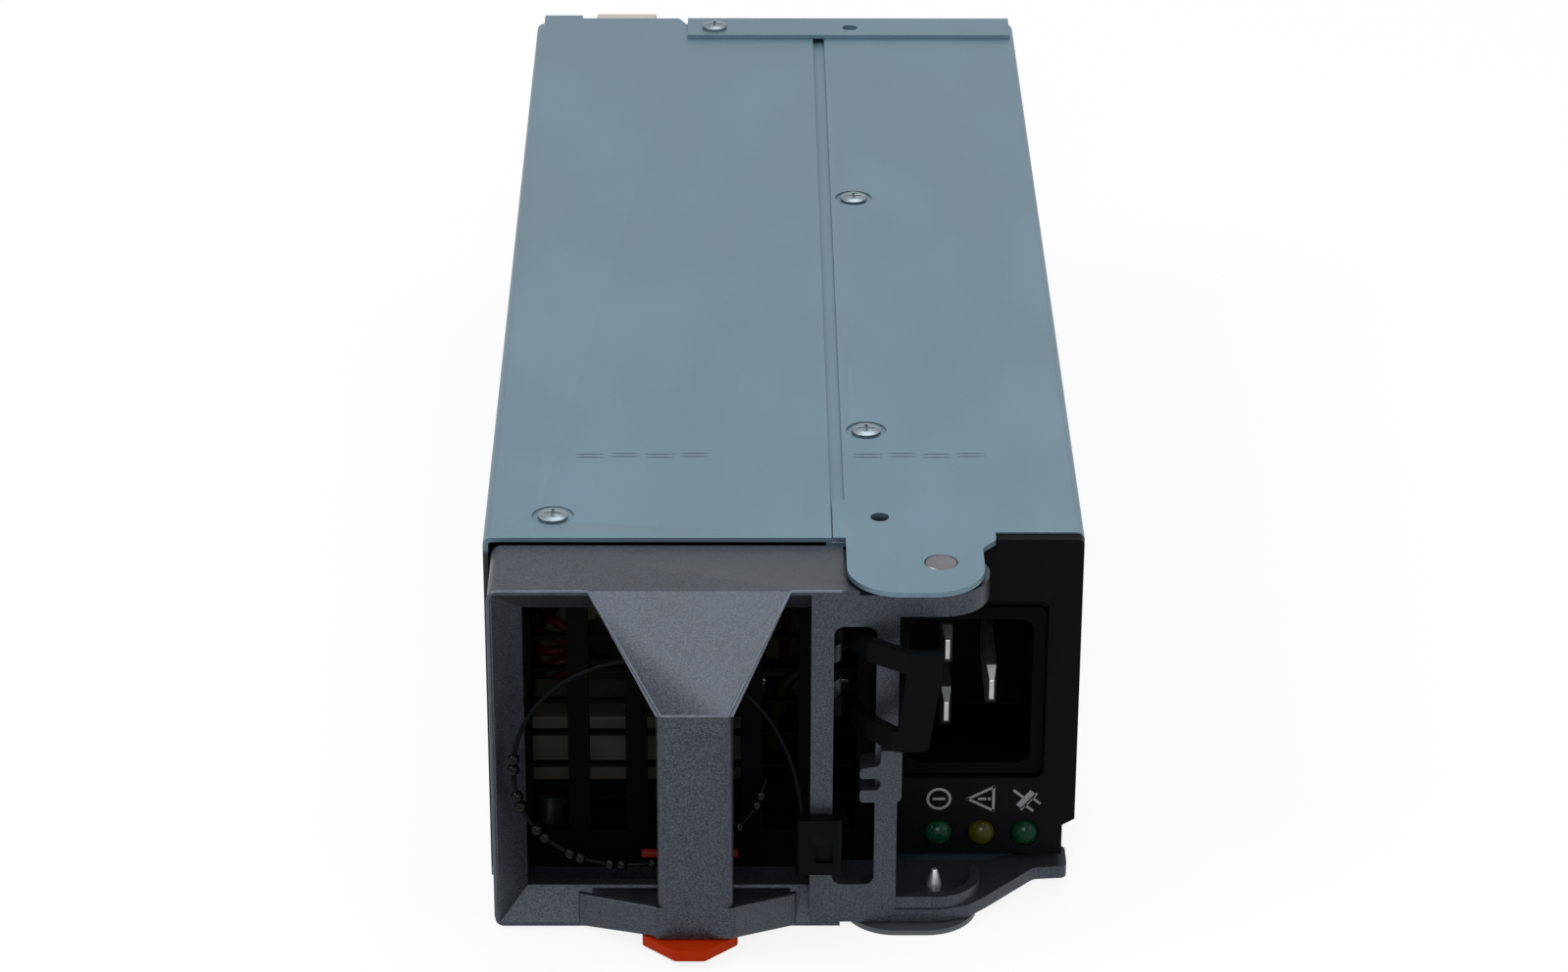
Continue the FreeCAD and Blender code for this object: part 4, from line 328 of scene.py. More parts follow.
def surroundings():
    world = bpy.data.worlds.new("studio")
    bpy.context.scene.world = world
    world.use_nodes = True
    tree = world.node_tree
    background = tree.nodes["Background"]
    background.inputs["Color"].default_value = (1, 1, 1, 1)
    path = tree.nodes.new("ShaderNodeLightPath")
    seen = tree.nodes.new("ShaderNodeMath")
    seen.operation = "ADD"
    either = tree.nodes.new("ShaderNodeMath")
    either.operation = "ADD"
    level = tree.nodes.new("ShaderNodeMapRange")
    level.inputs["To Min"].default_value = WORLD_LIGHT
    level.inputs["To Max"].default_value = 1.0
    tree.links.new(path.outputs["Is Camera Ray"], seen.inputs[0])
    tree.links.new(path.outputs["Is Glossy Ray"], seen.inputs[1])
    tree.links.new(seen.outputs[0], either.inputs[0])
    tree.links.new(path.outputs["Is Transmission Ray"], either.inputs[1])
    tree.links.new(either.outputs[0], level.inputs["Value"])
    tree.links.new(level.outputs["Result"], background.inputs["Strength"])


surroundings()
bpy.context.scene.view_settings.view_transform = "Standard"
print("light of the world", WORLD_LIGHT)

# %% [markdown]
# ## Tools for dressing the frame
# CAD meshes come as triangles with split edges.  A copy is welded, its flat triangles are joined and a
# narrow bevel is put on sharp edges, because real castings, mouldings and cut sheet never have a
# perfectly sharp edge, and that thin line of light is what makes them look real.  The bevel could be
# drawn in CAD, but as a modifier it stays easy to change and leaves the solids plain.

# %% New pieces
BODY_OF = {node: body for body, nodes in frame["record"]["behaviour"]["bodies"].items() for node in nodes}
SLOT_OF = {part["node"]: part["material_slot"] for part in frame["record"]["subparts"]}


def link(name, mesh, material, body, smooth=35):
    """A new piece from a bmesh, riding on a body.  Edges sharper than smooth degrees stay sharp."""
    data = bpy.data.meshes.new(name)
    mesh.to_mesh(data)
    mesh.free()
    data.materials.append(material)
    piece = bpy.data.objects.new(name, data)
    bpy.context.scene.collection.objects.link(piece)
    data.shade_smooth()
    data.set_sharp_from_angle(angle=math.radians(smooth))
    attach(piece, body)
    return piece


print("nodes that ride on a body:", len(BODY_OF))

# %% Eased copies
WELD_REACH, FLAT_ANGLE, SHARP_ANGLE = 2e-6, 0.6, 38


def welded(node):
    """The node's mesh with its split edges joined and its flat triangles merged."""
    mesh = bmesh.new()
    mesh.from_mesh(frame["nodes"][node].data)
    bmesh.ops.remove_doubles(mesh, verts=mesh.verts, dist=WELD_REACH)
    bmesh.ops.dissolve_limit(mesh, angle_limit=math.radians(FLAT_ANGLE), verts=mesh.verts, edges=mesh.edges)
    return mesh


def ease(piece, width, segments=2):
    """A narrow bevel on sharp edges; its level is the same in view and render."""
    bevel = piece.modifiers.new("ease", "BEVEL")
    bevel.width = width * MM
    bevel.segments = segments
    bevel.limit_method = "ANGLE"
    bevel.angle_limit = math.radians(SHARP_ANGLE)
    bevel.harden_normals = True
    bevel.use_clamp_overlap = True


def eased(node, material, width):
    """A welded and eased copy of a node, which it replaces."""
    piece = link(f"{node}_eased", welded(node), material, BODY_OF[node])
    ease(piece, width)
    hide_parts(node)


print("edges sharper than", SHARP_ANGLE, "degrees get a bevel")


# %% [markdown]
# ## Finishes
# Each finish is one function, drawn from noise at the real size of its grain.  An image would be quicker,
# but it needs unwrapped meshes and blurs close up.  The case is galvanised sheet: a cool grey with a fine
# grain along the rolling direction and faint clouds where the zinc froze.  Its cut front edges below the
# top and the tongue below the handle are darker, as painted shade.  The handle is a casting in metallic
# paint, whose flakes show as bright and dark grains under a millimetre across.


# %% Sheet and casting
# Painted shade: the tongue under the handle, and the front faces of the sheet below the top edge.
TONGUE_SHADE, CUT_EDGE_SHADE = linear(78, 82, 84), linear(40, 45, 48)
EDGE_TOP = 67


def galvanised():
    """Galvanised sheet.  Two masks by place darken the low tongue and the cut front edges, as painted shade.
    """
    paint = Paint("galvanised_sheet", linear(98, 121, 134), metallic=0.72, roughness=0.42)
    clouds = paint.noise(24, 3, (1, 0.45, 1))
    streaks = paint.noise(0.5, 2, (1, 0.04, 1))
    specks = paint.noise(0.35, 1)
    factor = (clouds * 0.6 + streaks * 0.08 + specks * 0.32).band(0.34, 0.66)
    depth, height = (paint.add("ShaderNodeSeparateXYZ", (paint.place,), output=axis) for axis in (1, 2))
    behind = depth.band(CASE_FRONT - 0.5 * MM, CASE_FRONT + 0.5 * MM)
    above_floor = height.band(1.5 * MM, 2.5 * MM)
    bright = paint.tint(factor, shade(paint.base, 0.93), shade(paint.base, 1.06))
    # Painted shade on the tongue, ahead of the case and near the floor.
    plated = paint.tint(behind.maths("MAXIMUM", above_floor), TONGUE_SHADE, bright)
    ahead = 1 - depth.band(CASE_FRONT + 0.1 * MM, CASE_FRONT + 0.5 * MM)
    below_top = 1 - height.band(EDGE_TOP * MM, (EDGE_TOP + 1.5) * MM)
    # Painted shade on the cut front faces, up to EDGE_TOP.
    paint.set("Base Color", paint.tint(ahead * below_top * above_floor, plated, CUT_EDGE_SHADE))
    paint.set("Roughness", 0.36 + clouds * 0.08 + specks * 0.08)
    paint.bump(specks * 0.5 + streaks * 0.08 + clouds * 0.6, 0.01, 0.45)
    return paint.material


def cast_paint():
    paint = Paint("cast_paint", linear(58, 62, 69), metallic=0.75, roughness=0.36)
    flakes = paint.noise(0.25, 1)
    blotch = paint.noise(14, 2)
    light = (flakes * 0.9 + blotch * 0.1).band(0.36, 0.66)
    paint.set("Base Color", paint.tint(light, shade(paint.base, 0.66), shade(paint.base, 1.44)))
    paint.set("Roughness", 0.25 + flakes * 0.26)
    paint.bump(flakes, 0.016, 0.9)
    return paint.material


print("the sheet's front edges are dark up to", EDGE_TOP, "mm")

# %% [markdown]
# Screws, blades, the pivot pin and the rivet are bare or plated metal.  Most show fine scratches along
# their depth, and the head of the rivet shows the rings of a lathe.  Anisotropic shading could hint at
# both with one number, but a bump also breaks up the highlight close up.

# %% Bright metals
def bright_metal(name, colour, roughness, wear=0.006):
    """Plated or bare metal with scratches along its depth; wear is their depth in millimetres."""
    paint = Paint(name, colour, metallic=0.95, roughness=roughness)
    scratches = paint.noise(0.25, 2, (1, 0.08, 1))
    stain = paint.noise(3, 2)
    paint.set("Base Color", paint.tint(stain.band(0.35, 0.7), shade(colour, 0.86), colour))
    paint.set("Roughness", roughness + scratches * 0.12 - 0.04)
    paint.bump(scratches, wear, 0.4)
    return paint.material


def turned(name, colour, node, roughness=0.3):
    """Bright metal with the rings that a lathe leaves, centred on a round node."""
    low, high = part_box(node)
    paint = Paint(name, colour, metallic=0.95, roughness=roughness)
    spot = paint.add("ShaderNodeMapping", {"Vector": paint.place,
                                           "Location": (-(low[0] + high[0]) / 2, -(low[1] + high[1]) / 2, 0),
                                           "Scale": (1, 1, 0)})
    reach = paint.add("ShaderNodeVectorMath", (spot,), output="Value", operation="LENGTH")
    rings = (reach * (math.tau / (0.35 * MM))).maths("SINE") * 0.5 + 0.5
    stain = paint.noise(2.4, 2).band(0.35, 0.7)
    paint.set("Base Color", paint.tint(stain, shade(colour, 0.85), colour))
    paint.set("Roughness", roughness + rings * 0.1)
    paint.bump(rings, 0.012, 0.5)
    return paint.material


print("bright metals are scratched or turned")

# %% [markdown]
# Moulded plastic has a fine spark-eroded texture.  Two scales of noise are enough: a grain that breaks
# the highlight, and slow patches that keep large faces from looking computed.  The indicators are tinted
# domes, and glass with real refraction would show only noise at their size, so they are plain and shiny.

# %% Plastics
CELLS_PER_METRE = 420.0


def moulded(name, colour, roughness=0.5, grain=0.25, depth=0.015, shine=0.5):
    """Plastic with a grain of the given size and depth, in millimetres."""
    paint = Paint(name, colour, roughness=roughness, specular_ior_level=shine)
    fine = paint.noise(grain, 2)
    patches = paint.noise(9, 2)
    paint.set("Base Color", paint.tint(patches.band(0.3, 0.7), shade(colour, 0.85), shade(colour, 1.15)))
    paint.set("Roughness", roughness - 0.05 + fine * 0.12)
    paint.bump(fine, depth, 0.6)
    return paint.material


EAR_SHADE_START, EAR_SHADE_FULL = 5, 8


def latch_nylon():
    """Orange nylon; a darker red on the ears is painted shade, as they lie behind the grip above the tongue.
    """
    paint = Paint("latch_orange", linear(150, 37, 2), roughness=0.42, specular_ior_level=0.05)
    height = paint.add("ShaderNodeSeparateXYZ", (paint.place,), output=2)
    ears = height.band(EAR_SHADE_START * MM, EAR_SHADE_FULL * MM)
    fine = paint.noise(0.25, 2)
    # Painted shade: above the tab, where the ears lie, the red is darker.
    paint.set("Base Color", paint.tint(ears, paint.base, linear(66, 10, 3)))
    paint.set("Roughness", 0.38 + fine * 0.12)
    paint.bump(fine, 0.015, 0.6)
    return paint.material


def lens(name, colour, shine=0.1):
    """A tinted dome or tube, slightly uneven in colour."""
    paint = Paint(name, colour, roughness=0.1, specular_ior_level=shine)
    depth = paint.noise(4.0, 1)
    paint.set("Base Color", paint.tint(depth, shade(colour, 0.8), shade(colour, 1.2)))
    return paint.material


def circuit_board():
    """Green solder mask, darkened as painted shade, with raised tracks along the borders of square cells."""
    paint = Paint("solder_mask_shade", linear(3, 15, 9), roughness=0.45, specular_ior_level=0.06)
    cells = {"Vector": paint.place, "Scale": CELLS_PER_METRE}
    tracks = paint.add("ShaderNodeTexVoronoi", cells, output="Distance",
                       feature="DISTANCE_TO_EDGE", distance="CHEBYCHEV")
    copper = tracks.band(0.04, 0.09)
    paint.set("Base Color", paint.tint(copper, shade(paint.base, 1.5), paint.base))
    paint.bump(copper, 0.03, 0.5)
    return paint.material


print("plastics, lenses and a board with", CELLS_PER_METRE, "cells to the metre")

# %% [markdown]
# ## One finish for each kind of material
# The CAD names a kind of material for each node.  One table gives each kind its finish, so that two nodes
# of one material can't drift apart, and a few pieces with a finish of their own are named below it.

# %% Finishes on the nodes
FINISHES = {
    "galvanised_steel": galvanised(),
    "cast_grey": cast_paint(),
    "zinc_steel": bright_metal("zinc_plate", linear(124, 136, 143), 0.3),
    "plated_contact": bright_metal("tin_plate", linear(176, 178, 178), 0.3, 0.001),
    "copper": bright_metal("busbar_copper", linear(150, 88, 60), 0.32),
    "aluminium_fin": bright_metal("fin_aluminium", linear(96, 98, 100), 0.42),
    "black_plastic": moulded("black_moulding", linear(5, 6, 7), 0.5, shine=0.05),
    "black_nylon": moulded("black_nylon", linear(3, 5, 6), 0.42, shine=0.05),
    "orange_plastic": latch_nylon(),
    "ivory_plastic": moulded("ivory_housing", linear(176, 168, 164), 0.5, shine=0.3),
    "green_board": circuit_board(),
    "ferrite": moulded("dark_ferrite", linear(30, 31, 33), 0.55, 0.4, shine=0.2),
    "powder_core": moulded("core_coating", linear(74, 76, 56), 0.45, shine=0.2),
    # Painted shade: the enamel red is darkened for the dim inside of the case.
    "enamel_wire": moulded("enamel_red_shade", linear(72, 12, 10), 0.35, shine=0.15),
    "capacitor_sleeve": moulded("sleeve_black", linear(12, 14, 22), 0.35, shine=0.2),
    # Painted shade: the grey epoxy boxes are darkened for the dim inside of the case.
    "grey_epoxy": moulded("grey_box_shade", linear(72, 71, 66), 0.5, shine=0.2),
    "glass_tube": lens("fuse_glass", linear(60, 63, 62), 0.3),
    # The clear film takes a dark colour; its tail ahead of the board is painted shade.
    "clear_film": moulded("film_dark", linear(16, 16, 15), 0.4, shine=0.2),
    "earth_wire": moulded("earth_insulation", linear(28, 33, 10), 0.4, shine=0.1),
    "brown_wire": moulded("brown_insulation", linear(48, 27, 16), 0.4, shine=0.2),
    "blue_wire": moulded("blue_insulation", linear(16, 28, 66), 0.4, shine=0.2),
    "coil_tape": moulded("coil_tape", linear(84, 80, 58), 0.5, shine=0.2),
    "green_lens": lens("lens_green", linear(6, 40, 25)),
    "amber_lens": lens("lens_amber", linear(44, 44, 8)),
}
RIVET_METAL = turned("rivet_metal", linear(112, 110, 116), "upper_pivot_rivet")
PIN_METAL = bright_metal("pin_metal", linear(222, 224, 226), 0.36, 0.001)
VENT_BLACK = moulded("vent_black", linear(4, 4, 4), 0.6, shine=0.03)
SOCKET_BLACK = moulded("socket_black", linear(3, 3, 4), 0.5, shine=0.03)
TIE_NYLON = moulded("tie_nylon", linear(2, 3, 3), 0.12, 0.6, 0.002, shine=0.1)
# A darker zinc; on the press marks it is painted shade.
PRESSED = bright_metal("pressed_zinc", linear(62, 76, 86), 0.4)
for node, item in frame["nodes"].items():
    item.data.materials.clear()
    item.data.materials.append(FINISHES[SLOT_OF[node]])
frame["nodes"]["upper_pivot_rivet"].data.materials[0] = RIVET_METAL
frame["nodes"]["fuse_clips"].data.materials[0] = PRESSED
print("finishes:", len(FINISHES))

# %% [markdown]
# ## Tie strand
# The real strand is a thin nylon line with balls moulded on it.  A swept mesh could follow the route, but
# a curve with a bevel keeps its length easy to read.  Its points are those of the CAD tube, and a NURBS
# spline runs smoothly past them, as nylon does.

# %% Tie strand
STRAND = [
    (3.2, 24.3), (2.3, 31.5), (0.0, 38.8), (-3.2, 45.0), (-7.9, 50.2), (-14.0, 54.0), (-20.9, 55.9),
    (-27.8, 56.1), (-34.8, 54.2), (-40.8, 50.6), (-45.6, 45.0), (-48.2, 38.2), (-48.6, 31.0),
    (-46.7, 24.0), (-42.0, 18.4), (-35.6, 14.7), (-27.6, 13.6), (-19.4, 14.7), (-12.2, 18.2),
    (-6.9, 23.0), (-4.2, 28.0), (-3.3, 32.0),
]
STRAND_REACH, STRAND_THICK = -19.0, 0.8
STRAND_STEPS = 8


def rod(name, radius, roundness, caps=False):
    """A curve with no splines yet; its bevel gives it a round section, with closed ends if caps is set."""
    curve = bpy.data.curves.new(name, "CURVE")
    curve.dimensions = "3D"
    curve.bevel_depth = radius * MM
    curve.bevel_resolution = roundness
    curve.use_fill_caps = caps
    item = bpy.data.objects.new(name, curve)
    bpy.context.scene.collection.objects.link(item)
    return item


def add_run(item, kind, spots):
    """One more spline on a curve, with these places in the frame as its points."""
    spline = item.data.splines.new(kind)
    spline.points.add(len(spots) - 1)
    for point, spot in zip(spline.points, spots):
        point.co = (*spot, 1)
    return spline


def route_points(item):
    """The points along a curve's own spline, read with no bevel."""
    depth = item.data.bevel_depth
    item.data.bevel_depth = 0
    mesh = bpy.data.meshes.new_from_object(item)
    spots = [vertex.co.copy() for vertex in mesh.vertices]
    bpy.data.meshes.remove(mesh)
    item.data.bevel_depth = depth
    return spots


def length_of(spots):
    return sum((b - a).length for a, b in zip(spots, spots[1:]))


strand = rod("tie_strand_cord", STRAND_THICK / 2, 4)
strand.data.resolution_u = STRAND_STEPS
strand_run = add_run(strand, "NURBS", [at(across, STRAND_REACH, up) for across, up in STRAND])
strand_run.order_u = 3
strand_run.use_endpoint_u = True
strand.data.materials.append(FINISHES["black_nylon"])
strand_route = route_points(strand)
strand_length = length_of(strand_route)
print("strand length", round(strand_length, 4), "m")

# %% [markdown]
# Past its plain start the strand carries small balls in pairs, so that the head can grip it behind any
# pair.  An array along a curve would space them too, but not in pairs.  So each ball is one sphere
# operator, placed by walking along the route.

# %% Beads
PAIR_FIRST, PAIR_PITCH, PAIR_GAP, BEAD_RADIUS = 82.0, 7.7, 2.1, 1.1


def along(spots, distance):
    """The point at a distance along a route."""
    for a, b in zip(spots, spots[1:]):
        step = (b - a).length
        if distance <= step:
            return a.lerp(b, distance / step)
        distance -= step
    return spots[-1]


def beads():
    """The balls of the tie, two to a pair, from the first pair to the end of the strand."""
    mesh = bmesh.new()
    pairs = int((strand_length / MM - PAIR_FIRST - PAIR_GAP) / PAIR_PITCH) + 1
    for k in range(pairs):
        for side in (-0.5, 0.5):
            spot = along(strand_route, (PAIR_FIRST + k * PAIR_PITCH + side * PAIR_GAP) * MM)
            bmesh.ops.create_uvsphere(mesh, u_segments=20, v_segments=12, radius=BEAD_RADIUS * MM,
                                      matrix=Matrix.Translation(spot))
    print("bead pairs:", pairs)
    return link("tie_beads", mesh, TIE_NYLON, "handle", 60)


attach(strand, "handle")
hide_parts("tie_strand")
tie_beads = beads()

# %% [markdown]
# ## Eased pieces
# One width for all edges would be quicker, but the width follows how each piece is made: a casting is
# rounder than cut sheet, and the sleeve of a capacitor is rounder still.  The widths are in millimetres.

# %% Ease the visible pieces
EASES = {
    "handle": 0.4, "release_latch": 0.25, "cord_clip": 0.35, "tie_head": 0.3, "chassis": 0.12,
    "left_cover": 0.12, "rear_panel": 0.12, "front_bezel": 0.3, "front_vent": 0.12, "ac_inlet": 0.25,
    "line_blade": 0.18, "neutral_blade": 0.18, "earth_blade": 0.18, "output_connector": 0.4,
    "filter_capacitor": 0.5, "transformer_core": 0.3, "output_inductor_core": 0.3, "fan_frame": 0.3,
    "busbars": 0.2, "bridge_rectifier": 0.3, "power_transistors": 0.3, "output_rectifiers": 0.3,
    "choke_core": 0.8, "boost_core": 0.8,
    "lamp_output": 0.1, "lamp_fault": 0.1, "lamp_input": 0.1, "lower_pivot_pin": 0.1,
    "bulk_capacitors": 0.9, "output_capacitors": 0.5, "cover_screws": 0.12, "fan_screws": 0.12,
}
SPECIAL = {"front_vent": VENT_BLACK, "ac_inlet": SOCKET_BLACK, "lower_pivot_pin": PIN_METAL}
for node, width in EASES.items():
    eased(node, SPECIAL.get(node, FINISHES[SLOT_OF[node]]), width)
print("eased pieces:", len(EASES))

# %% [markdown]
# ## Symbols over the indicators
# Three printed signs tell what each light means: output, fault and mains plug.  They are generic signs.
# A texture would need an image, and so each sign is a few flat bars and rings, a little proud of the face.

# %% Strokes of ink
INK = moulded("symbol_ink", linear(108, 110, 113), 0.55, shine=0.2)
INK_THICK, STROKE, SIGN_UP, RING_SIDES = 0.05, 0.5, 16.6, 40
BEZEL_FACE = (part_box("front_bezel")[0][1] - CASE_FRONT) / MM


def ink_bar(mesh, first, second, width=STROKE):
    """A straight stroke between two places on the bezel, given as across and up."""
    (x0, z0), (x1, z1) = first, second
    length, turn = math.hypot(x1 - x0, z1 - z0), math.atan2(z1 - z0, x1 - x0)
    place = Matrix.Translation(at((x0 + x1) / 2, BEZEL_FACE, (z0 + z1) / 2)) @ Matrix.Rotation(-turn, 4, "Y")
    size = Matrix.Diagonal(((length + width) * MM, 2 * INK_THICK * MM, width * MM, 1))
    bmesh.ops.create_cube(mesh, size=1, matrix=place @ size)


def ink_ring(mesh, across, up, radius):
    """A round stroke: a circle of edges, drawn out inwards and then given its thickness."""
    face = Matrix.Translation(at(across, BEZEL_FACE, up)) @ Matrix.Rotation(math.radians(90), 4, "X")
    rim = bmesh.ops.create_circle(mesh, segments=RING_SIDES, radius=radius * MM, matrix=face)["verts"]
    edges = list({edge for vert in rim for edge in vert.link_edges})
    inner = bmesh.ops.extrude_edge_only(mesh, edges=edges)["geom"]
    verts = [item for item in inner if isinstance(item, bmesh.types.BMVert)]
    share = (radius - STROKE) / radius
    bmesh.ops.scale(mesh, verts=verts, vec=(share, 1, share),
                    space=Matrix.Translation(-at(across, BEZEL_FACE, up)))
    flat = [item for item in inner if isinstance(item, bmesh.types.BMFace)]
    raised = bmesh.ops.extrude_face_region(mesh, geom=flat)["geom"]
    bmesh.ops.translate(mesh, vec=(0, -INK_THICK * MM, 0),
                        verts=[item for item in raised if isinstance(item, bmesh.types.BMVert)])
    bmesh.ops.recalc_face_normals(mesh, faces=mesh.faces)


print("ink", INK_THICK, "mm proud of the bezel")


# %% Symbols over the lamps
def output_sign(mesh, across):
    """A ring with a short bar in its middle."""
    ink_ring(mesh, across, SIGN_UP, 2.3)
    ink_bar(mesh, (across - 0.9, SIGN_UP), (across + 0.9, SIGN_UP))


def fault_sign(mesh, across):
    """A triangle lying on its side, with a short mark and a dot in it."""
    corners = [(across - 2.6, SIGN_UP), (across + 2.1, SIGN_UP + 2.5), (across + 2.1, SIGN_UP - 2.5)]
    for k in range(3):
        ink_bar(mesh, corners[k], corners[(k + 1) % 3])
    ink_bar(mesh, (across - 0.5, SIGN_UP), (across + 0.5, SIGN_UP))
    ink_bar(mesh, (across + 1.3, SIGN_UP), (across + 1.35, SIGN_UP))


def plug_sign(mesh, across):
    """A mains plug seen from the side, turned on the slant: its cord, a body and two pins."""
    strokes = [((-2.6, 0), (-0.8, 0), STROKE), ((0.2, -1.3), (0.2, 1.3), 1.4)]
    strokes += [((0.9, -2.0), (0.9, 2.0), STROKE)]
    strokes += [((1.2, rise), (2.6, rise), STROKE) for rise in (-1.0, 1.0)]
    slant = Matrix.Rotation(math.radians(-40), 2)
    for first, second, width in strokes:
        ends = [slant @ Vector(end) + Vector((across, SIGN_UP)) for end in (first, second)]
        ink_bar(mesh, ends[0], ends[1], width)


for node, sign in (("lamp_output", output_sign), ("lamp_fault", fault_sign), ("lamp_input", plug_sign)):
    low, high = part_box(node)
    drawing = bmesh.new()
    sign(drawing, (low[0] + high[0]) / 2 / MM)
    link(node.replace("lamp", "sign"), drawing, INK, BODY_OF[node])
print("signs at height", SIGN_UP, "mm")

# %% [markdown]
# ## Windings
# The choke and the boost inductor carry thick enamelled wire, turn beside turn.  Stripes on the CAD's solid
# winding would look flat at the vent.  So one curve per winding climbs round the core's section once a
# turn, and its bevel gives it the wire's thickness.  A small power of sine and cosine squares the loop.

# %% Wire turns
WIRE, WIRE_GAP, LOOP_STEPS, SQUARENESS = 2.0, 0.1, 16, 0.5


def squared(value):
    """Sine or cosine, pushed outwards so that a round loop becomes a rounded square."""
    return math.copysign(abs(value) ** SQUARENESS, value)


def winding(name, node, centre, axis, core, spans, turns):
    """Wire on a ring core.  core is its inner and outer radius and its depth, in millimetres, and spans
    are the angles at which the wire starts and how far round it goes."""
    inner, outer, deep = core
    middle = (inner + outer) / 2
    half, rise = (outer - inner + WIRE) / 2 + WIRE_GAP, (deep + WIRE) / 2 + WIRE_GAP
    coil = rod(name, WIRE / 2, 2, caps=True)
    for start, sweep in spans:
        spots = []
        for k in range(turns * LOOP_STEPS + 1):
            round_core = math.radians(start + sweep * k / (turns * LOOP_STEPS))
            lap = math.tau * k / LOOP_STEPS
            reach = middle + half * squared(math.cos(lap))
            lift = rise * squared(math.sin(lap))
            a, b = reach * math.cos(round_core), reach * math.sin(round_core)
            spot = (a, lift, b) if axis == "Y" else (a, b, lift)
            spots.append(at(*centre) + Vector(spot) * MM)
        add_run(coil, "POLY", spots)
    coil.data.materials.append(FINISHES["enamel_wire"])
    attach(coil, BODY_OF[node])
    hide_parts(node)


def middle_of(node):
    """The centre of a node's box, in case millimetres."""
    low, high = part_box(node)
    across, along_case, up = ((near + far) / 2 / MM for near, far in zip(low, high))
    return across, along_case - CASE_FRONT / MM, up


CHOKE, BOOST = (7.0, 12.6, 10.0), (9.5, 18.0, 14.0)
CHOKE_SPANS, BOOST_SPANS = ((129, 102), (-51, 102)), ((24, 312),)
winding("choke_turns", "choke_windings", middle_of("choke_core"), "Y", CHOKE, CHOKE_SPANS, turns=6)
winding("boost_turns", "boost_winding", middle_of("boost_core"), "Z", BOOST, BOOST_SPANS, turns=22)
print("windings of", WIRE, "mm wire")

# %% [markdown]
# ## Chin of the handle
# Below the window the casting bulges out toward the grip as one full-height wall, left and right.  The CAD
# solid has the chin without these thin skins.  Each cheek starts as one slanted face between the frame and
# the grip, and an extrusion gives it its wall.

# %% Cheeks
FRAME_FRONT, GRIP_FRONT = -18.3, -28.43
CHEEK_WALL, CHEEK_PROUD, CHEEK_EASE = 1.4, 0.05, 0.35
CHEEK_FOOT, CHEEK_BROW, GRIP_BROW = 0.45, 7.2, 10.5


def cheek(mesh, frame_side, grip_side, grip_foot):
    """One wall from the frame's front face to the side of the grip, where its foot is higher."""
    near = FRAME_FRONT - CHEEK_PROUD
    corners = [(frame_side, near, CHEEK_FOOT), (frame_side, near, CHEEK_BROW),
               (grip_side, GRIP_FRONT, GRIP_BROW), (grip_side, GRIP_FRONT, grip_foot)]
    face = mesh.faces.new([mesh.verts.new(at(*corner)) for corner in corners])
    raised = bmesh.ops.extrude_face_region(mesh, geom=[face])["geom"]
    bmesh.ops.translate(mesh, vec=(0, CHEEK_WALL * MM, 0),
                        verts=[item for item in raised if isinstance(item, bmesh.types.BMVert)])


cheeks = bmesh.new()
cheek(cheeks, frame_side=-37.2, grip_side=-22.75, grip_foot=4.3)
cheek(cheeks, frame_side=2.3, grip_side=-9.05, grip_foot=3.95)
bmesh.ops.recalc_face_normals(cheeks, faces=cheeks.faces)
ease(link("chin_cheeks", cheeks, FINISHES["cast_grey"], "handle"), CHEEK_EASE, 3)
print("cheeks of", CHEEK_WALL, "mm wall")

# %% [markdown]
# ## Rims of the casting
# The casting's long edges are rounded, so they shine as fine lines.  A wider bevel would round
# its small edges as much, and could not give these a finish of their own.  So a thin rod is sunk in each
# long edge: a curve through the corner points, with a small bevel.  The rods catch the lamps, and their
# metal, lighter than the paint, is a painted highlight.

# %% Rims
RIM_RADIUS, RIM_SUNK, CREASE_PROUD, CORNER_ROUND = 0.36, 0.2, 0.03, 1.6
HANDLE_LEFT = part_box("handle")[0][0] / MM
HANDLE_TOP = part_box("handle")[1][2] / MM
RIM_FOOT, RIM_RIGHT = 2.2, 10.0
GUSSET_LEFT, GUSSET_RIGHT, GRIP_LEFT, GRIP_RIGHT, CREASE_UP = -34.8, 1.2, -22.7, -9.1, 49.8
GRIP_INSET = 0.9
# Painted highlight: the rods take a lighter metal than the cast paint.
EDGE_HIGHLIGHT_METAL = bright_metal("edge_highlight_metal", linear(80, 85, 93), 0.36, 0.002)


def rims(name, paths):
    """Rods along a few runs of corner points, given in case millimetres."""
    item = rod(name, RIM_RADIUS, 3, caps=True)
    for path in paths:
        add_run(item, "POLY", [at(*spot) for spot in path])
    item.data.materials.append(EDGE_HIGHLIGHT_METAL)
    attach(item, "handle")


edge_left, edge_top = HANDLE_LEFT + RIM_SUNK, HANDLE_TOP - RIM_SUNK
edge_front, crease_front = FRAME_FRONT + RIM_SUNK, GRIP_FRONT + CREASE_PROUD + RIM_SUNK
corner = [(edge_left + CORNER_ROUND * (1 - math.cos(turn)), edge_front,
           edge_top - CORNER_ROUND * (1 - math.sin(turn))) for turn in (0, 0.4, 0.8, 1.2, math.pi / 2)]
gusset_left = [(GUSSET_LEFT + RIM_SUNK, edge_front, edge_top),
               (GRIP_LEFT + GRIP_INSET, crease_front, CREASE_UP)]
gusset_right = [(GUSSET_RIGHT - RIM_SUNK, edge_front, edge_top),
                (GRIP_RIGHT - GRIP_INSET, crease_front, CREASE_UP)]
rims("handle_rims", [
    [(edge_left, edge_front, RIM_FOOT), *corner, gusset_left[0]],
    [gusset_right[0], (RIM_RIGHT, edge_front, edge_top)],
    gusset_left, gusset_right, [gusset_left[1], gusset_right[1]],
])
print("rims of", RIM_RADIUS, "mm radius")

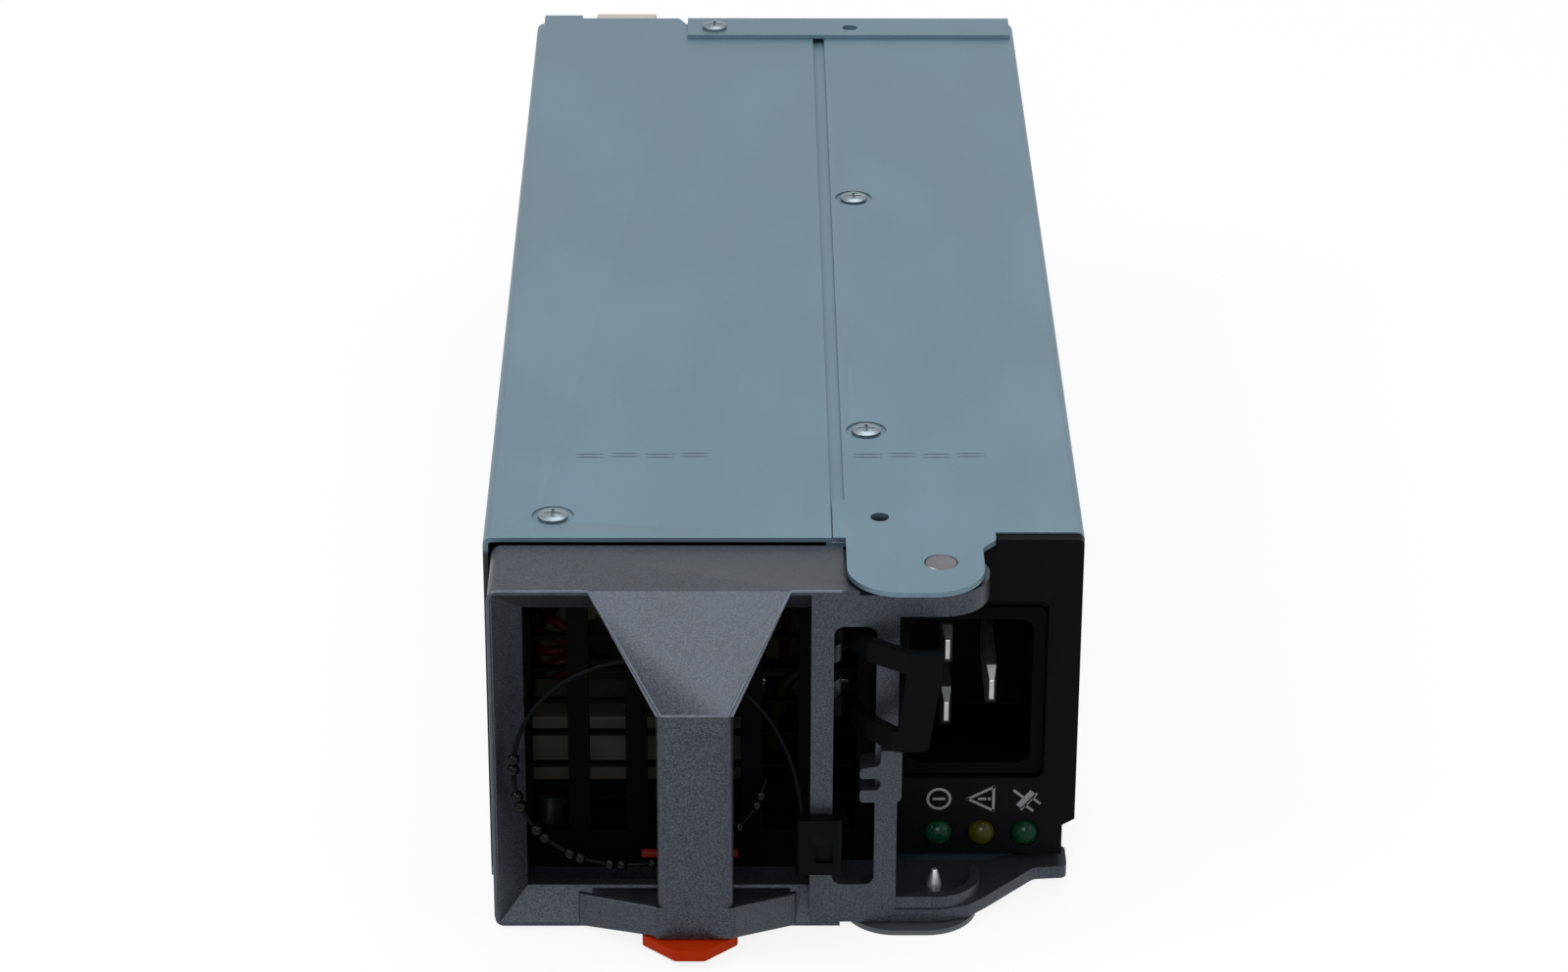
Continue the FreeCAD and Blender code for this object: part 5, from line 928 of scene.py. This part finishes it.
# %% [markdown]
# ## Film on the floor
# Insulating film covers the floor of the case, in a dark colour, and its front tail lies behind the vent,
# ahead of the board: a dark sheet that is painted shade, where the vent shows the dark inside of the case.
# A cloth simulation would be too much for a stiff sheet.  It is a grid that rises and falls in low waves,
# and a Solidify modifier gives it its thickness.  It stops short of the handle's path on the right.

# %% Film tail
FILM_LEFT, FILM_RIGHT, FILM_FRONT, FILM_REAR = -51.0, 8.0, 12.8, 23.8
FILM_THICK, FILM_CLEAR, FILM_LIFT, FILM_WAVE, WAVE_TURN = 0.15, 0.05, 0.25, 0.2, 0.35


# Painted shade: a dark sheet behind the vent, ahead of the board, for the dark inside of the case.
def film_tail_shade():
    mesh = bmesh.new()
    floor_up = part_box("insulating_film")[0][2] / MM + FILM_CLEAR
    middle = at((FILM_LEFT + FILM_RIGHT) / 2, (FILM_FRONT + FILM_REAR) / 2, floor_up)
    size = Matrix.Diagonal(((FILM_RIGHT - FILM_LEFT) / 2 * MM, (FILM_REAR - FILM_FRONT) / 2 * MM, 1, 1))
    bmesh.ops.create_grid(mesh, x_segments=24, y_segments=3, size=1, matrix=Matrix.Translation(middle) @ size)
    for vert in mesh.verts:
        vert.co.z += (FILM_LIFT + FILM_WAVE * math.sin(vert.co.x / MM * WAVE_TURN)) * MM
    piece = link("film_tail_shade", mesh, FINISHES["clear_film"], BODY_OF["insulating_film"])
    wall = piece.modifiers.new("thickness", "SOLIDIFY")
    wall.thickness = FILM_THICK * MM
    wall.offset = 0


film_tail_shade()
print("film tail ahead of the board")

# %% [markdown]
# ## Press marks
# Two rows of short, shallow dashes run across the top near the front, where the sheet was held in the
# press.  A bump in the finish would be lost in the exported mesh.  So each dash is a sphere pressed nearly
# flat, half sunk in the sheet.

# %% Dashes
DASH_LENGTH, DASH_WIDTH, DASH_RISE = 5.6, 0.4, 0.06
DASH_ROWS, DASH_SPACING, DASH_STAGGER = (32.2, 33.5), 1.12, 0.3


def dashes(name, node, first, last):
    """Dashes on a node's top between two places across, every other one a little further back."""
    mesh = bmesh.new()
    count = int((last - first) / (DASH_LENGTH * DASH_SPACING))
    for k in range(count):
        across = first + (last - first) * (k + 0.5) / count
        for row in DASH_ROWS:
            place = Matrix.Translation(at(across, row + DASH_STAGGER * (k % 2), CASE_TOP / MM))
            size = Matrix.Diagonal((DASH_LENGTH / 2, DASH_WIDTH / 2, DASH_RISE, 1))
            bmesh.ops.create_uvsphere(mesh, u_segments=16, v_segments=8, radius=MM, matrix=place @ size)
    # Painted shade: the dashes take the darker zinc, as dark lines in place of the shade of sunk marks.
    link(name, mesh, PRESSED, BODY_OF[node])


dashes("cover_marks", "left_cover", first=-39, last=-13)
dashes("chassis_marks", "chassis", first=12.5, last=38)
print("press marks", DASH_RISE, "mm high")

# %% [markdown]
